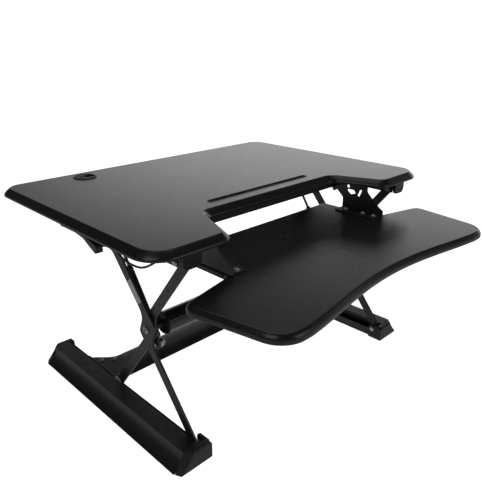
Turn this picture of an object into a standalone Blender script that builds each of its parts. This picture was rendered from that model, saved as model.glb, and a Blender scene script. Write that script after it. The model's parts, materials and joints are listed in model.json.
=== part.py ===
"""Standing desk converter: a scissor-lift worktop with a keyboard tray below it.

Metres, +Z up, +X to the user's right, +Y to the rear, origin on the floor under the middle.
The lift is drawn raised, its resting position.
"""
import math

import bmesh
import bpy
from mathutils import Matrix, Vector

# ---------------------------------------------------------------- driving dimensions
GAP = 0.0003                     # between neighbours that touch
SHEET = 0.002                    # folded steel thickness

DESK_HALF_WIDTH = 0.445
DESK_FRONT, DESK_REAR = -0.2035, 0.4245
DESK_TOP, DESK_THICKNESS = 0.482, 0.018
DESK_UNDER = DESK_TOP - DESK_THICKNESS
# board edges, as (inset from the outline, distance from the top or the underside)
DESK_EDGE = [(0.0000, 0.0140), (0.0014, 0.0108), (0.0122, 0.0008), (0.0145, 0.0)]
TRAY_EDGE = [(0.0000, 0.0115), (0.0012, 0.0065), (0.0045, 0.0025), (0.0090, 0.0)]
LOWER_EDGE = [(0.0016, 0.0), (0.0000, 0.0016)]
CUTOUT_REAR, CUTOUT_HALF_REAR, CUTOUT_HALF_FRONT = -0.0745, 0.212, 0.262
SLOT_FRONT, SLOT_REAR, SLOT_HALF_LENGTH, SLOT_DEPTH = -0.0305, -0.0175, 0.165, 0.010
GROMMET_X, GROMMET_Y = -0.246, 0.3615
GROMMET_FLANGE_R, GROMMET_HOLE_R, GROMMET_TUBE_R, GROMMET_BORE_R = 0.029, 0.0265, 0.0262, 0.0235
GROMMET_REBATE = 0.0006          # the flange sits this deep in the desktop

TRAY_TOP, TRAY_THICKNESS = 0.392, 0.018
TRAY_UNDER = TRAY_TOP - TRAY_THICKNESS
TRAY_FRONT_CENTRE, TRAY_FRONT = -0.3895, -0.4245
TRAY_REAR, TRAY_NECK_HALF = -0.0195, 0.258
TRAY_HOLLOW_HALF = 0.300         # half width of the hollow in the front edge

FOOT_FRONT, FOOT_REAR, FOOT_HEIGHT, FOOT_BASE = -0.1995, 0.3775, 0.040, 0.0015
FOOT_CAP_LENGTH = 0.0155
FOOT_INNER, GROOVE_IN, GROOVE_OUT, GROOVE_FLOOR = 0.329, 0.331, 0.347, 0.0137
FOOT_TOP_OUT, FOOT_FLARE_OUT = 0.385, 0.411
FOOT_WALL_TOP = 0.022            # the groove's inner wall is lower than its outer one
CAP_WING_REAR = -0.1585          # the front cap's wing that holds the lower pivot pin
CAP_INNER = 0.321

RAIL_IN, RAIL_OUT, RAIL_TOP, RAIL_BOTTOM = 0.3285, 0.3715, DESK_UNDER - GAP, 0.4363
RAIL_FRONT, RAIL_REAR, RAIL_CAP_FRONT = -0.1845, 0.3605, -0.1925

# scissor pins, as (y, z)
OUTER_LOW = Vector((-0.1705, 0.028))
OUTER_TOP = Vector((0.1255, 0.445))
INNER_LOW = Vector((0.1255, 0.028))
INNER_TOP = Vector((-0.1705, 0.445))
MAIN_PIVOT = (OUTER_LOW + OUTER_TOP) / 2
ARM_LENGTH = (OUTER_TOP - OUTER_LOW).length
ARM_HALF_WIDTH = 0.011
OUTER_ARM_X = (0.3405, 0.3455)
INNER_ARM_X = (0.333, 0.338)
PIN_R = 0.004
PIVOT_BOLT_R = 0.005
ROLLER_R = 0.014

TUBE_R, TUBE_HALF, STUB_R, STUB_END = 0.025, 0.300, 0.008, 0.3327

# gas spring between the lever on the torque tube and the outer arm's ear, as (y, z)
SPRING_LOW = MAIN_PIVOT + Vector((-0.001, -0.0435))
SPRING_TOP = Vector((0.123, 0.4102))
CROSS_ROD = Vector((0.150, 0.418))
SPRING_X, EYE_X = 0.313, (0.308, 0.318)
CYLINDER_R, CYLINDER_BORE_R, ROD_R = 0.0075, 0.006, 0.004
CYLINDER_START, CYLINDER_END = 0.0128, 0.181
EYE_R = 0.010
LEVER_X = (0.3225, 0.3265)

CROSSBAR_Y = (0.1605, 0.2505)
CROSSBAR_HALF = 0.3265

HANDLE_PIVOT = Vector((0.125, 0.4565))
HANDLE_X = (0.4160, 0.4310)
HANDLE_PIN_R = 0.002
LOCK_X = (0.352, 0.356)
CABLE_R = 0.0022
CABLE_ROUTE = [
    (0.4150, -0.0245, 0.4502), (0.4150, -0.0310, 0.4498), (0.4120, -0.0430, 0.4400),
    (0.4060, -0.0590, 0.4265), (0.4010, -0.0820, 0.4205), (0.3990, -0.1080, 0.4240),
    (0.3930, -0.1320, 0.4370), (0.3810, -0.1490, 0.4535), (0.3765, -0.1585, 0.4576),
    (0.3763, -0.1663, 0.4578),
]

# ---------------------------------------------------------------- scene and materials
for item in list(bpy.data.objects):
    bpy.data.objects.remove(item, do_unlink=True)

parts = bpy.data.collections.new("standing_desk_converter")
cutters = bpy.data.collections.new("cutters")
for group in (parts, cutters):
    bpy.context.scene.collection.children.link(group)

LOOKS = {
    "board": ((0.022, 0.022, 0.024), 0.45, 0.0),
    "steel": ((0.020, 0.020, 0.021), 0.38, 0.6),
    "tube": ((0.025, 0.025, 0.026), 0.28, 0.6),
    "zinc": ((0.55, 0.56, 0.58), 0.30, 1.0),
    "chrome": ((0.75, 0.76, 0.78), 0.08, 1.0),
    "plastic": ((0.018, 0.018, 0.018), 0.50, 0.0),
    "nylon": ((0.60, 0.60, 0.58), 0.45, 0.0),
    "cable": ((0.016, 0.016, 0.016), 0.40, 0.0),
}


def make_material(name, colour, roughness, metallic):
    material = bpy.data.materials.new(name)
    material.use_nodes = True
    shader = material.node_tree.nodes["Principled BSDF"]
    shader.inputs["Base Color"].default_value = (*colour, 1.0)
    shader.inputs["Roughness"].default_value = roughness
    shader.inputs["Metallic"].default_value = metallic
    return material


materials = {name: make_material(name, *look) for name, look in LOOKS.items()}

# ---------------------------------------------------------------- bodies
bodies = {}


def add_body(name, place, parent=None):
    """An empty on the body's joint axis, which its pieces follow."""
    empty = bpy.data.objects.new("body_" + name, None)
    empty.location = place
    parts.objects.link(empty)
    if parent:
        empty.parent = bodies[parent]
        empty.matrix_parent_inverse = Matrix.Translation(-world_place(parent))
    bodies[name] = empty


def world_place(name):
    """Where the body's empty stands: the empties are never turned or scaled."""
    return bodies[name].location.copy()


def finish_piece(obj, name, look, body):
    """Name, colour and parent a piece that already lies in its place."""
    obj.name = name
    obj.data.name = name
    obj.data.materials.clear()
    obj.data.materials.append(materials[look])
    obj.parent = bodies[body]
    obj.matrix_parent_inverse = Matrix.Translation(-world_place(body))
    obj.data.shade_smooth()
    obj.data.set_sharp_from_angle(angle=math.radians(35))
    return obj


# ---------------------------------------------------------------- modelling helpers
PLANES = {  # an outline's own x, y and thickness directions
    "X": Matrix(((0, 0, 1), (1, 0, 0), (0, 1, 0))),   # outline given as (y, z)
    "Y": Matrix(((0, 1, 0), (0, 0, 1), (1, 0, 0))),   # outline given as (z, x)
    "Z": Matrix.Identity(3),                          # outline given as (x, y)
}


def rounded(corners, fineness=5):
    """Outline points of a polygon whose corners are (x, y, radius)."""
    points = []
    count = len(corners)
    for i, (x, y, radius) in enumerate(corners):
        here = Vector((x, y))
        back = (Vector(corners[i - 1][:2]) - here).normalized()
        ahead = (Vector(corners[(i + 1) % count][:2]) - here).normalized()
        if radius <= 0:
            points.append(here)
            continue
        half = back.angle(ahead) / 2
        if half > math.radians(89):
            points.append(here)
            continue
        centre = here + (back + ahead).normalized() * (radius / math.sin(half))
        start = here + back * (radius / math.tan(half)) - centre
        end = here + ahead * (radius / math.tan(half)) - centre
        turn = start.angle_signed(end)
        steps = max(2, round(fineness * abs(turn) / (math.pi / 2)))
        for k in range(steps + 1):
            points.append(centre + Matrix.Rotation(-turn * k / steps, 2) @ start)
    return points


def ring(centre, radius, count=16):
    """Points round a circle."""
    angles = [2 * math.pi * k / count for k in range(count)]
    return [Vector((centre[0] + radius * math.cos(a), centre[1] + radius * math.sin(a)))
            for a in angles]


def plate(outline, axis, low, high, holes=()):
    """A flat outline, with round or shaped holes, extruded along one axis."""
    curve = bpy.data.curves.new("outline", "CURVE")
    curve.dimensions = "2D"
    curve.fill_mode = "BOTH"
    curve.extrude = (high - low) / 2
    for loop in (outline, *holes):
        spline = curve.splines.new("POLY")
        spline.points.add(len(loop) - 1)
        for point, place in zip(spline.points, loop):
            point.co = (place[0], place[1], 0, 1)
        spline.use_cyclic_u = True
    guide = bpy.data.objects.new("outline", curve)
    turn = PLANES[axis]
    guide.matrix_world = Matrix.Translation(turn @ Vector((0, 0, (low + high) / 2))) @ turn.to_4x4()
    return as_mesh(guide)


def as_mesh(guide):
    """Turn a curve object into a closed mesh object in the same place."""
    parts.objects.link(guide)
    bpy.context.view_layer.update()
    graph = bpy.context.evaluated_depsgraph_get()
    mesh = bpy.data.meshes.new_from_object(guide.evaluated_get(graph))
    shape = bmesh.new()
    shape.from_mesh(mesh)
    bmesh.ops.remove_doubles(shape, verts=shape.verts, dist=0.00001)
    bmesh.ops.recalc_face_normals(shape, faces=shape.faces)
    shape.to_mesh(mesh)
    shape.free()
    obj = bpy.data.objects.new("piece", mesh)
    obj.matrix_world = guide.matrix_world.copy()
    parts.objects.link(obj)
    data = guide.data
    bpy.data.objects.remove(guide, do_unlink=True)
    bpy.data.curves.remove(data)
    return obj


def box(low, high):
    """A box between two corners."""
    low, high = Vector(low), Vector(high)
    shape = bmesh.new()
    bmesh.ops.create_cube(shape, size=1.0)
    size = high - low
    bmesh.ops.scale(shape, vec=size, verts=shape.verts)
    mesh = bpy.data.meshes.new("box")
    shape.to_mesh(mesh)
    shape.free()
    obj = bpy.data.objects.new("piece", mesh)
    obj.location = (low + high) / 2
    parts.objects.link(obj)
    return obj


def turned(profile, start, direction, steps=16):
    """A turned solid: (radius, distance) pairs up the outside, along direction from start.

    A profile that ends where it starts is a closed ring.
    """
    mesh = bpy.data.meshes.new("profile")
    is_ring = profile[0] == profile[-1]
    points = [(radius, 0, along) for radius, along in reversed(profile)]
    if is_ring:
        points.pop()
    edges = [(k, k + 1) for k in range(len(points) - 1)]
    if is_ring:
        edges.append((len(points) - 1, 0))
    mesh.from_pydata(points, edges, [])
    obj = bpy.data.objects.new("piece", mesh)
    direction = Vector(direction).normalized()
    turn = Vector((0, 0, 1)).rotation_difference(direction)
    obj.matrix_world = Matrix.Translation(Vector(start)) @ turn.to_matrix().to_4x4()
    parts.objects.link(obj)
    screw = obj.modifiers.new("Screw", "SCREW")
    screw.steps = steps
    screw.render_steps = steps
    screw.use_merge_vertices = True
    screw.merge_threshold = 0.00001
    return obj


def ring_profile(inner, outer, low, high):
    """The closed profile of a tube or washer, for turned."""
    return [(inner, low), (outer, low), (outer, high), (inner, high), (inner, low)]


def pin_profile(sections):
    """A stepped solid pin from (radius, from, to) sections that follow on."""
    profile = [(0, sections[0][1])]
    for radius, low, high in sections:
        profile += [(radius, low), (radius, high)]
    return profile + [(0, sections[-1][2])]


def hex_bolt(start, direction, head, shank_r, run, nut):
    """A hexagon-headed bolt with its nut, lofted from twelve-sided rings.

    head and nut are (width across flats, height); run is the shank between them.
    """
    direction = Vector(direction).normalized()
    side = direction.orthogonal().normalized()
    up = direction.cross(side)
    sides = 12
    nut_from = head[1] + run
    levels = [(0, head[0]), (head[1], head[0]), (head[1], 0), (nut_from, 0),
              (nut_from, nut[0]), (nut_from + nut[1], nut[0])]
    shape = bmesh.new()
    rings = []
    for along, across in levels:
        loop = []
        for k in range(sides):
            angle = 2 * math.pi * k / sides
            radius = across / 2 / (math.cos(math.pi / 6) if k % 2 else 1) or shank_r
            place = (Vector(start) + direction * along
                     + (side * math.cos(angle) + up * math.sin(angle)) * radius)
            loop.append(shape.verts.new(place))
        rings.append(loop)
    return loft_rings(shape, rings)


def loft_rings(shape, rings):
    """Join rings of equal count into one closed solid."""
    for low, high in zip(rings, rings[1:]):
        count = len(low)
        for k in range(count):
            shape.faces.new((low[k], low[(k + 1) % count], high[(k + 1) % count], high[k]))
    shape.faces.new(rings[0][::-1])
    shape.faces.new(rings[-1])
    bmesh.ops.recalc_face_normals(shape, faces=shape.faces)
    mesh = bpy.data.meshes.new("loft")
    shape.to_mesh(mesh)
    shape.free()
    obj = bpy.data.objects.new("piece", mesh)
    parts.objects.link(obj)
    return obj


def loft(sections):
    """A solid through sections of (x, y, z) points."""
    shape = bmesh.new()
    return loft_rings(shape, [[shape.verts.new(p) for p in section] for section in sections])


def baked(obj):
    """The object with its modifiers applied and its place moved into the mesh."""
    bpy.context.view_layer.update()
    graph = bpy.context.evaluated_depsgraph_get()
    mesh = bpy.data.meshes.new_from_object(obj.evaluated_get(graph))
    mesh.transform(obj.matrix_world)
    obj.modifiers.clear()
    obj.data = mesh
    obj.matrix_world = Matrix.Identity(4)
    return obj


def as_cutter(obj):
    """Move an object out of the model, to be cut away or joined on."""
    parts.objects.unlink(obj)
    cutters.objects.link(obj)
    obj.name = "cutter"
    obj.hide_render = True
    obj.display_type = "WIRE"
    return obj


def combine(obj, other, operation, solver="EXACT"):
    """A Boolean of two objects, left on the first as a modifier."""
    change = obj.modifiers.new("Boolean", "BOOLEAN")
    change.operation = operation
    change.object = as_cutter(other)
    change.solver = solver
    return obj


def cut(obj, *others):
    for other in others:
        combine(obj, other, "DIFFERENCE")
    return obj


def join(obj, *others):
    for other in others:
        combine(obj, other, "UNION")
    return obj


def inset(outline, distance):
    """The outline moved inwards, point by point."""
    count = len(outline)
    area = sum(outline[k - 1].cross(outline[k]) for k in range(count))
    turn = Matrix.Rotation(math.copysign(math.pi / 2, area), 2)
    moved = []
    for k, here in enumerate(outline):
        back = (here - outline[k - 1]).normalized()
        ahead = (outline[(k + 1) % count] - here).normalized()
        inward = (turn @ (back + ahead)).normalized()
        moved.append(here + inward * (distance / max(0.3, inward.dot(turn @ ahead))))
    return moved


def board(outline, under, top, edge):
    """A board with a shaped upper edge and a small chamfer below."""
    levels = [(away, under + up) for away, up in LOWER_EDGE] + [(away, top - down) for away, down in edge]
    return loft([[(p.x, p.y, z) for p in inset(outline, away)] for away, z in levels])


def across_x(centre, radius, low, high):
    """A round cutter along X through a (y, z) centre."""
    return turned(pin_profile([(radius, 0, high - low)]), (low, *centre), (1, 0, 0))


def span(side, low, high):
    """An interval of x given for the right side, on the chosen side."""
    return (low, high) if side > 0 else (-high, -low)


def sided(side, point):
    """A point given for the right side, on the chosen side."""
    return Vector((point[0] * side, point[1], point[2]))


def side_name(name, side):
    return name + ("_right" if side > 0 else "_left")


SIDES = (-1, 1)


def cross3(x, place):
    """A point from x and a (y, z) place."""
    return Vector((x, place[0], place[1]))


# ---------------------------------------------------------------- the bodies and their axes
add_body("base", (0, 0, 0))
add_body("outer_arms", cross3(0, OUTER_LOW), "base")
add_body("inner_arms", cross3(0, MAIN_PIVOT), "outer_arms")
add_body("desktop", cross3(0, INNER_TOP), "inner_arms")
add_body("grommet_cap", (GROMMET_X, GROMMET_Y, DESK_TOP), "desktop")
for side in SIDES:
    add_body(side_name("roller_upper", side), cross3(0.3355 * side, OUTER_TOP), "outer_arms")
    add_body(side_name("roller_lower", side), cross3(0.3425 * side, INNER_LOW), "inner_arms")
    add_body(side_name("gas_cylinder", side), cross3(SPRING_X * side, SPRING_LOW), "inner_arms")
    add_body(side_name("gas_rod", side), cross3(SPRING_X * side, SPRING_TOP),
             side_name("gas_cylinder", side))
    add_body(side_name("handle", side), cross3(sum(HANDLE_X) / 2 * side, HANDLE_PIVOT), "desktop")
    add_body(side_name("lock_slide", side), (0.354 * side, -0.095, 0.452), "desktop")


# ---------------------------------------------------------------- base
def foot_section():
    """The folded foot's section as (x, z): groove beside a top face and a hollow flare."""
    flare = 6
    skirt = []
    for k in range(flare + 1):
        t = k / flare
        x = FOOT_TOP_OUT + (FOOT_FLARE_OUT - FOOT_TOP_OUT) * t ** 1.5
        z = FOOT_HEIGHT - (FOOT_HEIGHT - FOOT_BASE) * t ** 0.75
        skirt.append((x, z))
    inside = [(x - 1.2 * SHEET, z - 0.8 * SHEET) for x, z in skirt[:-1]]
    inside.append((FOOT_FLARE_OUT - 1.8 * SHEET, FOOT_BASE))
    return ([(FOOT_INNER, FOOT_BASE), (FOOT_INNER, FOOT_WALL_TOP), (GROOVE_IN, FOOT_WALL_TOP),
             (GROOVE_IN, GROOVE_FLOOR), (GROOVE_OUT, GROOVE_FLOOR), (GROOVE_OUT, FOOT_HEIGHT)]
            + skirt + inside[::-1]
            + [(GROOVE_OUT + SHEET, FOOT_HEIGHT - 0.8 * SHEET),
               (GROOVE_OUT + SHEET, GROOVE_FLOOR - SHEET),
               (GROOVE_IN, GROOVE_FLOOR - SHEET), (GROOVE_IN, FOOT_BASE)])


def make_foot(side):
    outline = [(z, side * x) for x, z in foot_section()]
    steel = plate(outline, "Y", FOOT_FRONT + FOOT_CAP_LENGTH + GAP,
                  FOOT_REAR - FOOT_CAP_LENGTH - GAP)
    pin_hole = across_x(OUTER_LOW, PIN_R + GAP, *span(side, 0.340, 0.352))
    combine(steel, pin_hole, "DIFFERENCE", "MANIFOLD")
    finish_piece(steel, side_name("foot", side), "steel", "base")


def make_foot_cap(side, name, end, inward):
    """A moulded end cap, chamfered towards its outer corner."""
    inner = CAP_INNER if inward > 0 else FOOT_INNER

    def section(y, top_out, bottom_out, drop):
        return [sided(side, (x, y, z)) for x, z in (
            (inner, 0), (inner, FOOT_HEIGHT - 0.006), (inner + 0.004, FOOT_HEIGHT - drop),
            (top_out, FOOT_HEIGHT - drop), (top_out + 0.005, FOOT_HEIGHT - 0.008 - drop),
            (bottom_out - 0.009, 0.010), (bottom_out, 0))]
    depth = FOOT_CAP_LENGTH * inward
    cap = loft([section(end, FOOT_TOP_OUT - 0.015, FOOT_FLARE_OUT - 0.009, 0.003),
                section(end + depth * 0.2, FOOT_TOP_OUT - 0.012, FOOT_FLARE_OUT - 0.006, 0.0),
                section(end + depth, FOOT_TOP_OUT - 0.001, FOOT_FLARE_OUT - 0.001, 0.0)])
    if inward > 0:
        add_wing(cap, side)
    finish_piece(cap, side_name(name, side), "plastic", "base")


def add_wing(cap, side):
    """The upright wing behind the front cap, which holds the pin's inner end."""
    start, high = FOOT_FRONT + FOOT_CAP_LENGTH / 2, FOOT_HEIGHT - 0.001
    outline = rounded([(start, 0.0, 0), (CAP_WING_REAR, 0.0, 0), (CAP_WING_REAR, high, 0.006),
                       (start, high, 0)], 4)
    wing = plate(outline, "X", *span(side, CAP_INNER + 0.0005, FOOT_INNER - GAP),
                 holes=[ring(OUTER_LOW, PIN_R + GAP, 12)])
    join(cap, wing)


def make_crossbar():
    """A low folded plate between the feet, broad and slightly crowned, open below."""
    front, rear = CROSSBAR_Y
    crown = [(front, 0.0020), (front + 0.014, 0.0115), (front + 0.0215, 0.0128),
             (front + 0.0225, 0.0120), (front + 0.0235, 0.0130), (front + 0.0295, 0.0138),
             (front + 0.0305, 0.0130), (front + 0.0315, 0.0140), (front + 0.052, 0.0150),
             (front + 0.075, 0.0143), (rear - 0.002, 0.0120), (rear, 0.0100), (rear, 0.0020)]
    lining = [(rear - 0.0018, 0.0020), (rear - 0.0018, 0.0098), (front + 0.052, 0.0128),
              (front + 0.0145, 0.0095), (front + 0.0032, 0.0020)]
    bar = plate(crown + lining, "X", -CROSSBAR_HALF, CROSSBAR_HALF)
    finish_piece(bar, "crossbar", "steel", "base")


def make_crossbar_bracket(side):
    """A flared gusset over the bar's end, turned up against the foot's inner wall."""
    wall = FOOT_INNER - GAP
    top = rounded([(0.262, 0.176, 0.004), (0.290, 0.160, 0.02), (wall, 0.1325, 0),
                   (wall, 0.2865, 0), (0.290, 0.250, 0.02), (0.262, 0.235, 0.004)], 3)
    outline = [(side * p.x, p.y) for p in top]
    gusset = plate(outline, "Z", 0.0153, 0.0173)
    xs = span(side, wall - SHEET, wall)
    web = box((xs[0], 0.1325, 0.0158), (xs[1], 0.2865, FOOT_WALL_TOP))
    join(gusset, web)
    finish_piece(gusset, side_name("crossbar_bracket", side), "steel", "base")


def make_lower_pin(side):
    """The front lower pivot, headed inside the front cap's wing."""
    head = CAP_INNER - GAP - 0.003
    pin = turned(pin_profile([(0.0065, 0, 0.003), (PIN_R, 0.003, 0.3519 - head)]),
                 cross3(side * head, OUTER_LOW), (side, 0, 0))
    finish_piece(pin, side_name("lower_pivot_pin", side), "zinc", "base")


# ---------------------------------------------------------------- scissor arms
def arm_frame(low, top):
    """Unit vectors along an arm and towards its upper side, as (y, z)."""
    along = (top - low).normalized()
    normal = Vector((-along.y, along.x))
    if normal.y < 0:
        normal = -normal
    return along, normal


def outer_arm_corners():
    """The outer arm's outline along its pin line: two offset straps, boss and rear ear."""
    half, mid = ARM_HALF_WIDTH, ARM_LENGTH / 2

    def low_centre(s):
        return -0.070 * s

    def top_centre(s):
        return 0.090 * (ARM_LENGTH - s)

    return [
        (-half, -half, 0.0105), (mid + 6e-3, low_centre(mid) - half, 0.012),
        (mid + 0.030, top_centre(mid + 0.030) - half, 0.030),
        (0.440, top_centre(0.440) - half, 0.020), (0.474, -0.033, 0.012),
        (0.496, -0.049, 0.012), (0.520, -0.040, 0.014), (ARM_LENGTH + half, -0.004, 0.012),
        (ARM_LENGTH + half - 0.001, half - 0.001, 0.010), (mid - 0.006, top_centre(mid) + half, 0.012),
        (mid - 0.030, low_centre(mid - 0.030) + half, 0.030), (-half, half, 0.0105),
    ]


def inner_arm_corners():
    """The inner arm's outline along its pin line: two straps offset about the boss."""
    half, mid = ARM_HALF_WIDTH, ARM_LENGTH / 2

    def low_centre(s):
        return -0.050 * s

    def top_centre(s):
        return 0.053 * (ARM_LENGTH - s)

    end = ARM_LENGTH + half
    return [
        (-half, -half, 0.0105), (mid + 0.010, low_centre(mid) - half, 0.012),
        (mid + 0.032, top_centre(mid + 0.032) - half, 0.030), (end, -half, 0.0105),
        (end, half, 0.0105), (mid - 0.010, top_centre(mid) + half, 0.012),
        (mid - 0.032, low_centre(mid - 0.032) + half, 0.030), (-half, half, 0.0105),
    ]


def make_arm(side, name, body, low, top, corners, xs, stud):
    """A flat arm with pin holes and the welded stud that its roller turns on."""
    along, normal = arm_frame(low, top)
    outline = [low + along * p[0] + normal * p[1] for p in rounded(corners)]
    stud_place, stud_from, stud_to = stud
    plain_end = low if stud_place == top else top
    holes = [ring(plain_end, PIN_R + GAP, 12), ring(MAIN_PIVOT, PIVOT_BOLT_R + GAP, 12)]
    arm = plate(outline, "X", *span(side, *xs), holes=holes)
    join(arm, across_x(stud_place, PIN_R, *span(side, stud_from, stud_to)))
    finish_piece(arm, side_name(name, side), "steel", body)


def make_pivot_bolt(side):
    """Main pivot bolt: a broad flat head outside, the shank through both arms."""
    head = OUTER_ARM_X[1] + GAP
    bolt = turned(pin_profile([(PIVOT_BOLT_R, 0, 0.0127), (0.0090, 0.0127, 0.0155),
                               (0.0075, 0.0155, 0.0172)]),
                  cross3(side * (head - 0.0127), MAIN_PIVOT), (side, 0, 0))
    finish_piece(bolt, side_name("main_pivot_bolt", side), "zinc", "outer_arms")


def make_cross_rod():
    """The rod that ties the two outer arms together behind the gas springs."""
    end = OUTER_ARM_X[0] - GAP
    rod = turned(pin_profile([(0.006, -end, end)]), cross3(0, CROSS_ROD), (1, 0, 0))
    finish_piece(rod, "outer_arm_tie_rod", "steel", "outer_arms")


def make_roller(side, name, centre, low, high):
    """A grooved nylon wheel with a broad bore."""
    shoulder = 0.0010
    profile = [(PIN_R + GAP, low), (ROLLER_R - 0.004, low), (ROLLER_R - shoulder, low + shoulder),
               (ROLLER_R, low + 2 * shoulder), (ROLLER_R, high - 2 * shoulder),
               (ROLLER_R - shoulder, high - shoulder), (ROLLER_R - 0.004, high),
               (PIN_R + GAP, high), (PIN_R + GAP, low)]
    wheel = turned(profile, cross3(0, centre), (side, 0, 0), 24)
    finish_piece(wheel, side_name(name, side), "nylon", side_name(name, side))


# ---------------------------------------------------------------- torque tube and springs
def make_torque_tube():
    tube = turned(ring_profile(TUBE_R - SHEET, TUBE_R, -TUBE_HALF, TUBE_HALF),
                  cross3(0, MAIN_PIVOT), (1, 0, 0), 32)
    finish_piece(tube, "torque_tube", "tube", "inner_arms")


def make_tube_end(side):
    """End plug with the stub shaft to the inner arm and the lever for the gas spring."""
    spigot = TUBE_R - SHEET - GAP
    disc = TUBE_HALF + GAP
    plug = turned(pin_profile([(spigot, disc - 0.010, disc), (TUBE_R, disc, disc + 0.003),
                               (STUB_R, disc + 0.003, STUB_END)]),
                  cross3(0, MAIN_PIVOT), (side, 0, 0), 24)
    down = (SPRING_LOW - MAIN_PIVOT).normalized()
    across = Vector((-down.y, down.x))
    start, end = MAIN_PIVOT - down * 0.014, SPRING_LOW + down * 0.012
    corners = [(*(start + across * 0.014), 0.0135), (*(start - across * 0.014), 0.0135),
               (*(end - across * 0.011), 0.0105), (*(end + across * 0.011), 0.0105)]
    lever = plate(rounded(corners), "X", *span(side, *LEVER_X),
                  holes=[ring(SPRING_LOW, PIN_R + GAP, 12)])
    finish_piece(join(lever, plug), side_name("tube_end", side), "steel", "inner_arms")


def make_spring_bolt(side):
    """The bolt through a spring's lower eye: head beside the lever, nut inside."""
    head = LEVER_X[1] + GAP + 0.004
    nut_face = EYE_X[0] - GAP
    bolt = hex_bolt(cross3(side * head, SPRING_LOW), (-side, 0, 0), (0.013, 0.004), PIN_R,
                    head - 0.004 - nut_face, (0.013, 0.0042))
    finish_piece(bolt, side_name("spring_bolt", side), "zinc", "inner_arms")


def spring_line():
    """Unit direction of the gas spring as (y, z), and its pin-to-pin length."""
    run = SPRING_TOP - SPRING_LOW
    return run.normalized(), run.length


def make_gas_spring(side):
    along, length = spring_line()
    direction = Vector((0, along.x, along.y))
    start = cross3(side * SPRING_X, SPRING_LOW)
    body = side_name("gas_cylinder", side)

    end, bore = CYLINDER_END, CYLINDER_BORE_R
    barrel = [(0, CYLINDER_START), (CYLINDER_R - 0.001, CYLINDER_START),
              (CYLINDER_R, CYLINDER_START + 0.002), (CYLINDER_R, end - 0.006),
              (CYLINDER_R - 0.0012, end - 0.005), (CYLINDER_R - 0.0012, end),
              (ROD_R + GAP, end), (ROD_R + GAP, end - 0.004), (bore, end - 0.004),
              (bore, CYLINDER_START + 0.006), (0, CYLINDER_START + 0.006)]
    cylinder = turned(barrel, start, direction, 20)
    finish_piece(cylinder, body, "tube", body)

    eye = plate(ring(SPRING_LOW, EYE_R, 20), "X", *span(side, *EYE_X),
                holes=[ring(SPRING_LOW, PIN_R + GAP, 12)])
    neck = turned(pin_profile([(0.0048, 0.0070, CYLINDER_START - GAP)]), start, direction, 12)
    finish_piece(join(eye, neck), side_name("cylinder_eye", side), "zinc", body)

    body = side_name("gas_rod", side)
    rod = turned(pin_profile([(bore - GAP, 0.158, 0.166), (ROD_R, 0.166, length - 0.0125),
                              (0.0055, length - 0.0125, length - 0.0060)]), start, direction)
    eye = plate(ring(SPRING_TOP, 0.009, 20), "X", *span(side, *EYE_X))
    head = EYE_X[0] - 0.004
    bolt = turned(pin_profile([(0.0065, 0, 0.0030), (PIN_R, 0.0030, 0.340 - head)]),
                  cross3(side * head, SPRING_TOP), (side, 0, 0), 12)
    finish_piece(join(eye, rod, bolt), body, "chrome", body)


# ---------------------------------------------------------------- desktop
def mirrored(half):
    """A whole outline from corners on the right half, given from rear to front."""
    return half + [(-x, y, r) for x, y, r in reversed(half)]


def make_desktop():
    half = [(DESK_HALF_WIDTH, DESK_REAR, 0.050), (DESK_HALF_WIDTH, DESK_FRONT, 0.060),
            (CUTOUT_HALF_FRONT, DESK_FRONT, 0.034), (CUTOUT_HALF_REAR, CUTOUT_REAR, 0.026)]
    top = board(rounded(mirrored(half), 8), DESK_UNDER, DESK_TOP, DESK_EDGE)
    mid = (SLOT_FRONT + SLOT_REAR) / 2
    reach, wide = SLOT_HALF_LENGTH, (SLOT_REAR - SLOT_FRONT) / 2
    groove = rounded([(reach, mid + wide, wide * 0.98), (-reach, mid + wide, wide * 0.98),
                      (-reach, mid - wide, wide * 0.98), (reach, mid - wide, wide * 0.98)])
    hole = turned(pin_profile([(GROMMET_HOLE_R, -0.03, -GROMMET_REBATE),
                               (GROMMET_FLANGE_R + GAP, -GROMMET_REBATE, 0.03)]),
                  (GROMMET_X, GROMMET_Y, DESK_TOP), (0, 0, 1), 32)
    cut(top, plate(groove, "Z", DESK_TOP - SLOT_DEPTH, DESK_TOP + 0.005), hole)
    finish_piece(top, "desktop", "board", "desktop")


def make_grommet():
    place = (GROMMET_X, GROMMET_Y, DESK_TOP)
    bore, flange = GROMMET_BORE_R, GROMMET_FLANGE_R
    seat = GAP - GROMMET_REBATE
    profile = [(bore - 0.0015, -0.020), (GROMMET_TUBE_R, -0.020), (GROMMET_TUBE_R, seat),
               (flange, seat), (flange, 0.0012), (flange - 0.0015, 0.0023), (bore, 0.0023),
               (bore, -0.0022), (bore - 0.0015, -0.0022), (bore - 0.0015, -0.020)]
    finish_piece(turned(profile, place, (0, 0, 1), 32), "grommet_ring", "plastic", "desktop")

    radius = bore - GAP
    notch = 0.011
    start = math.asin(notch / radius)
    arc = [start + (2 * math.pi - 2 * start) * k / 28 for k in range(29)]
    outline = [(GROMMET_X + radius * math.cos(a), GROMMET_Y + radius * math.sin(a)) for a in arc]
    outline += [(GROMMET_X + 0.004, GROMMET_Y - notch), (GROMMET_X - 0.001, GROMMET_Y - notch / 2),
                (GROMMET_X - 0.001, GROMMET_Y + notch / 2), (GROMMET_X + 0.004, GROMMET_Y + notch)]
    cap = plate(outline, "Z", DESK_TOP - 0.0022 + GAP, DESK_TOP + 0.0015)
    finish_piece(cap, "grommet_cap", "plastic", "grommet_cap")


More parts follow.
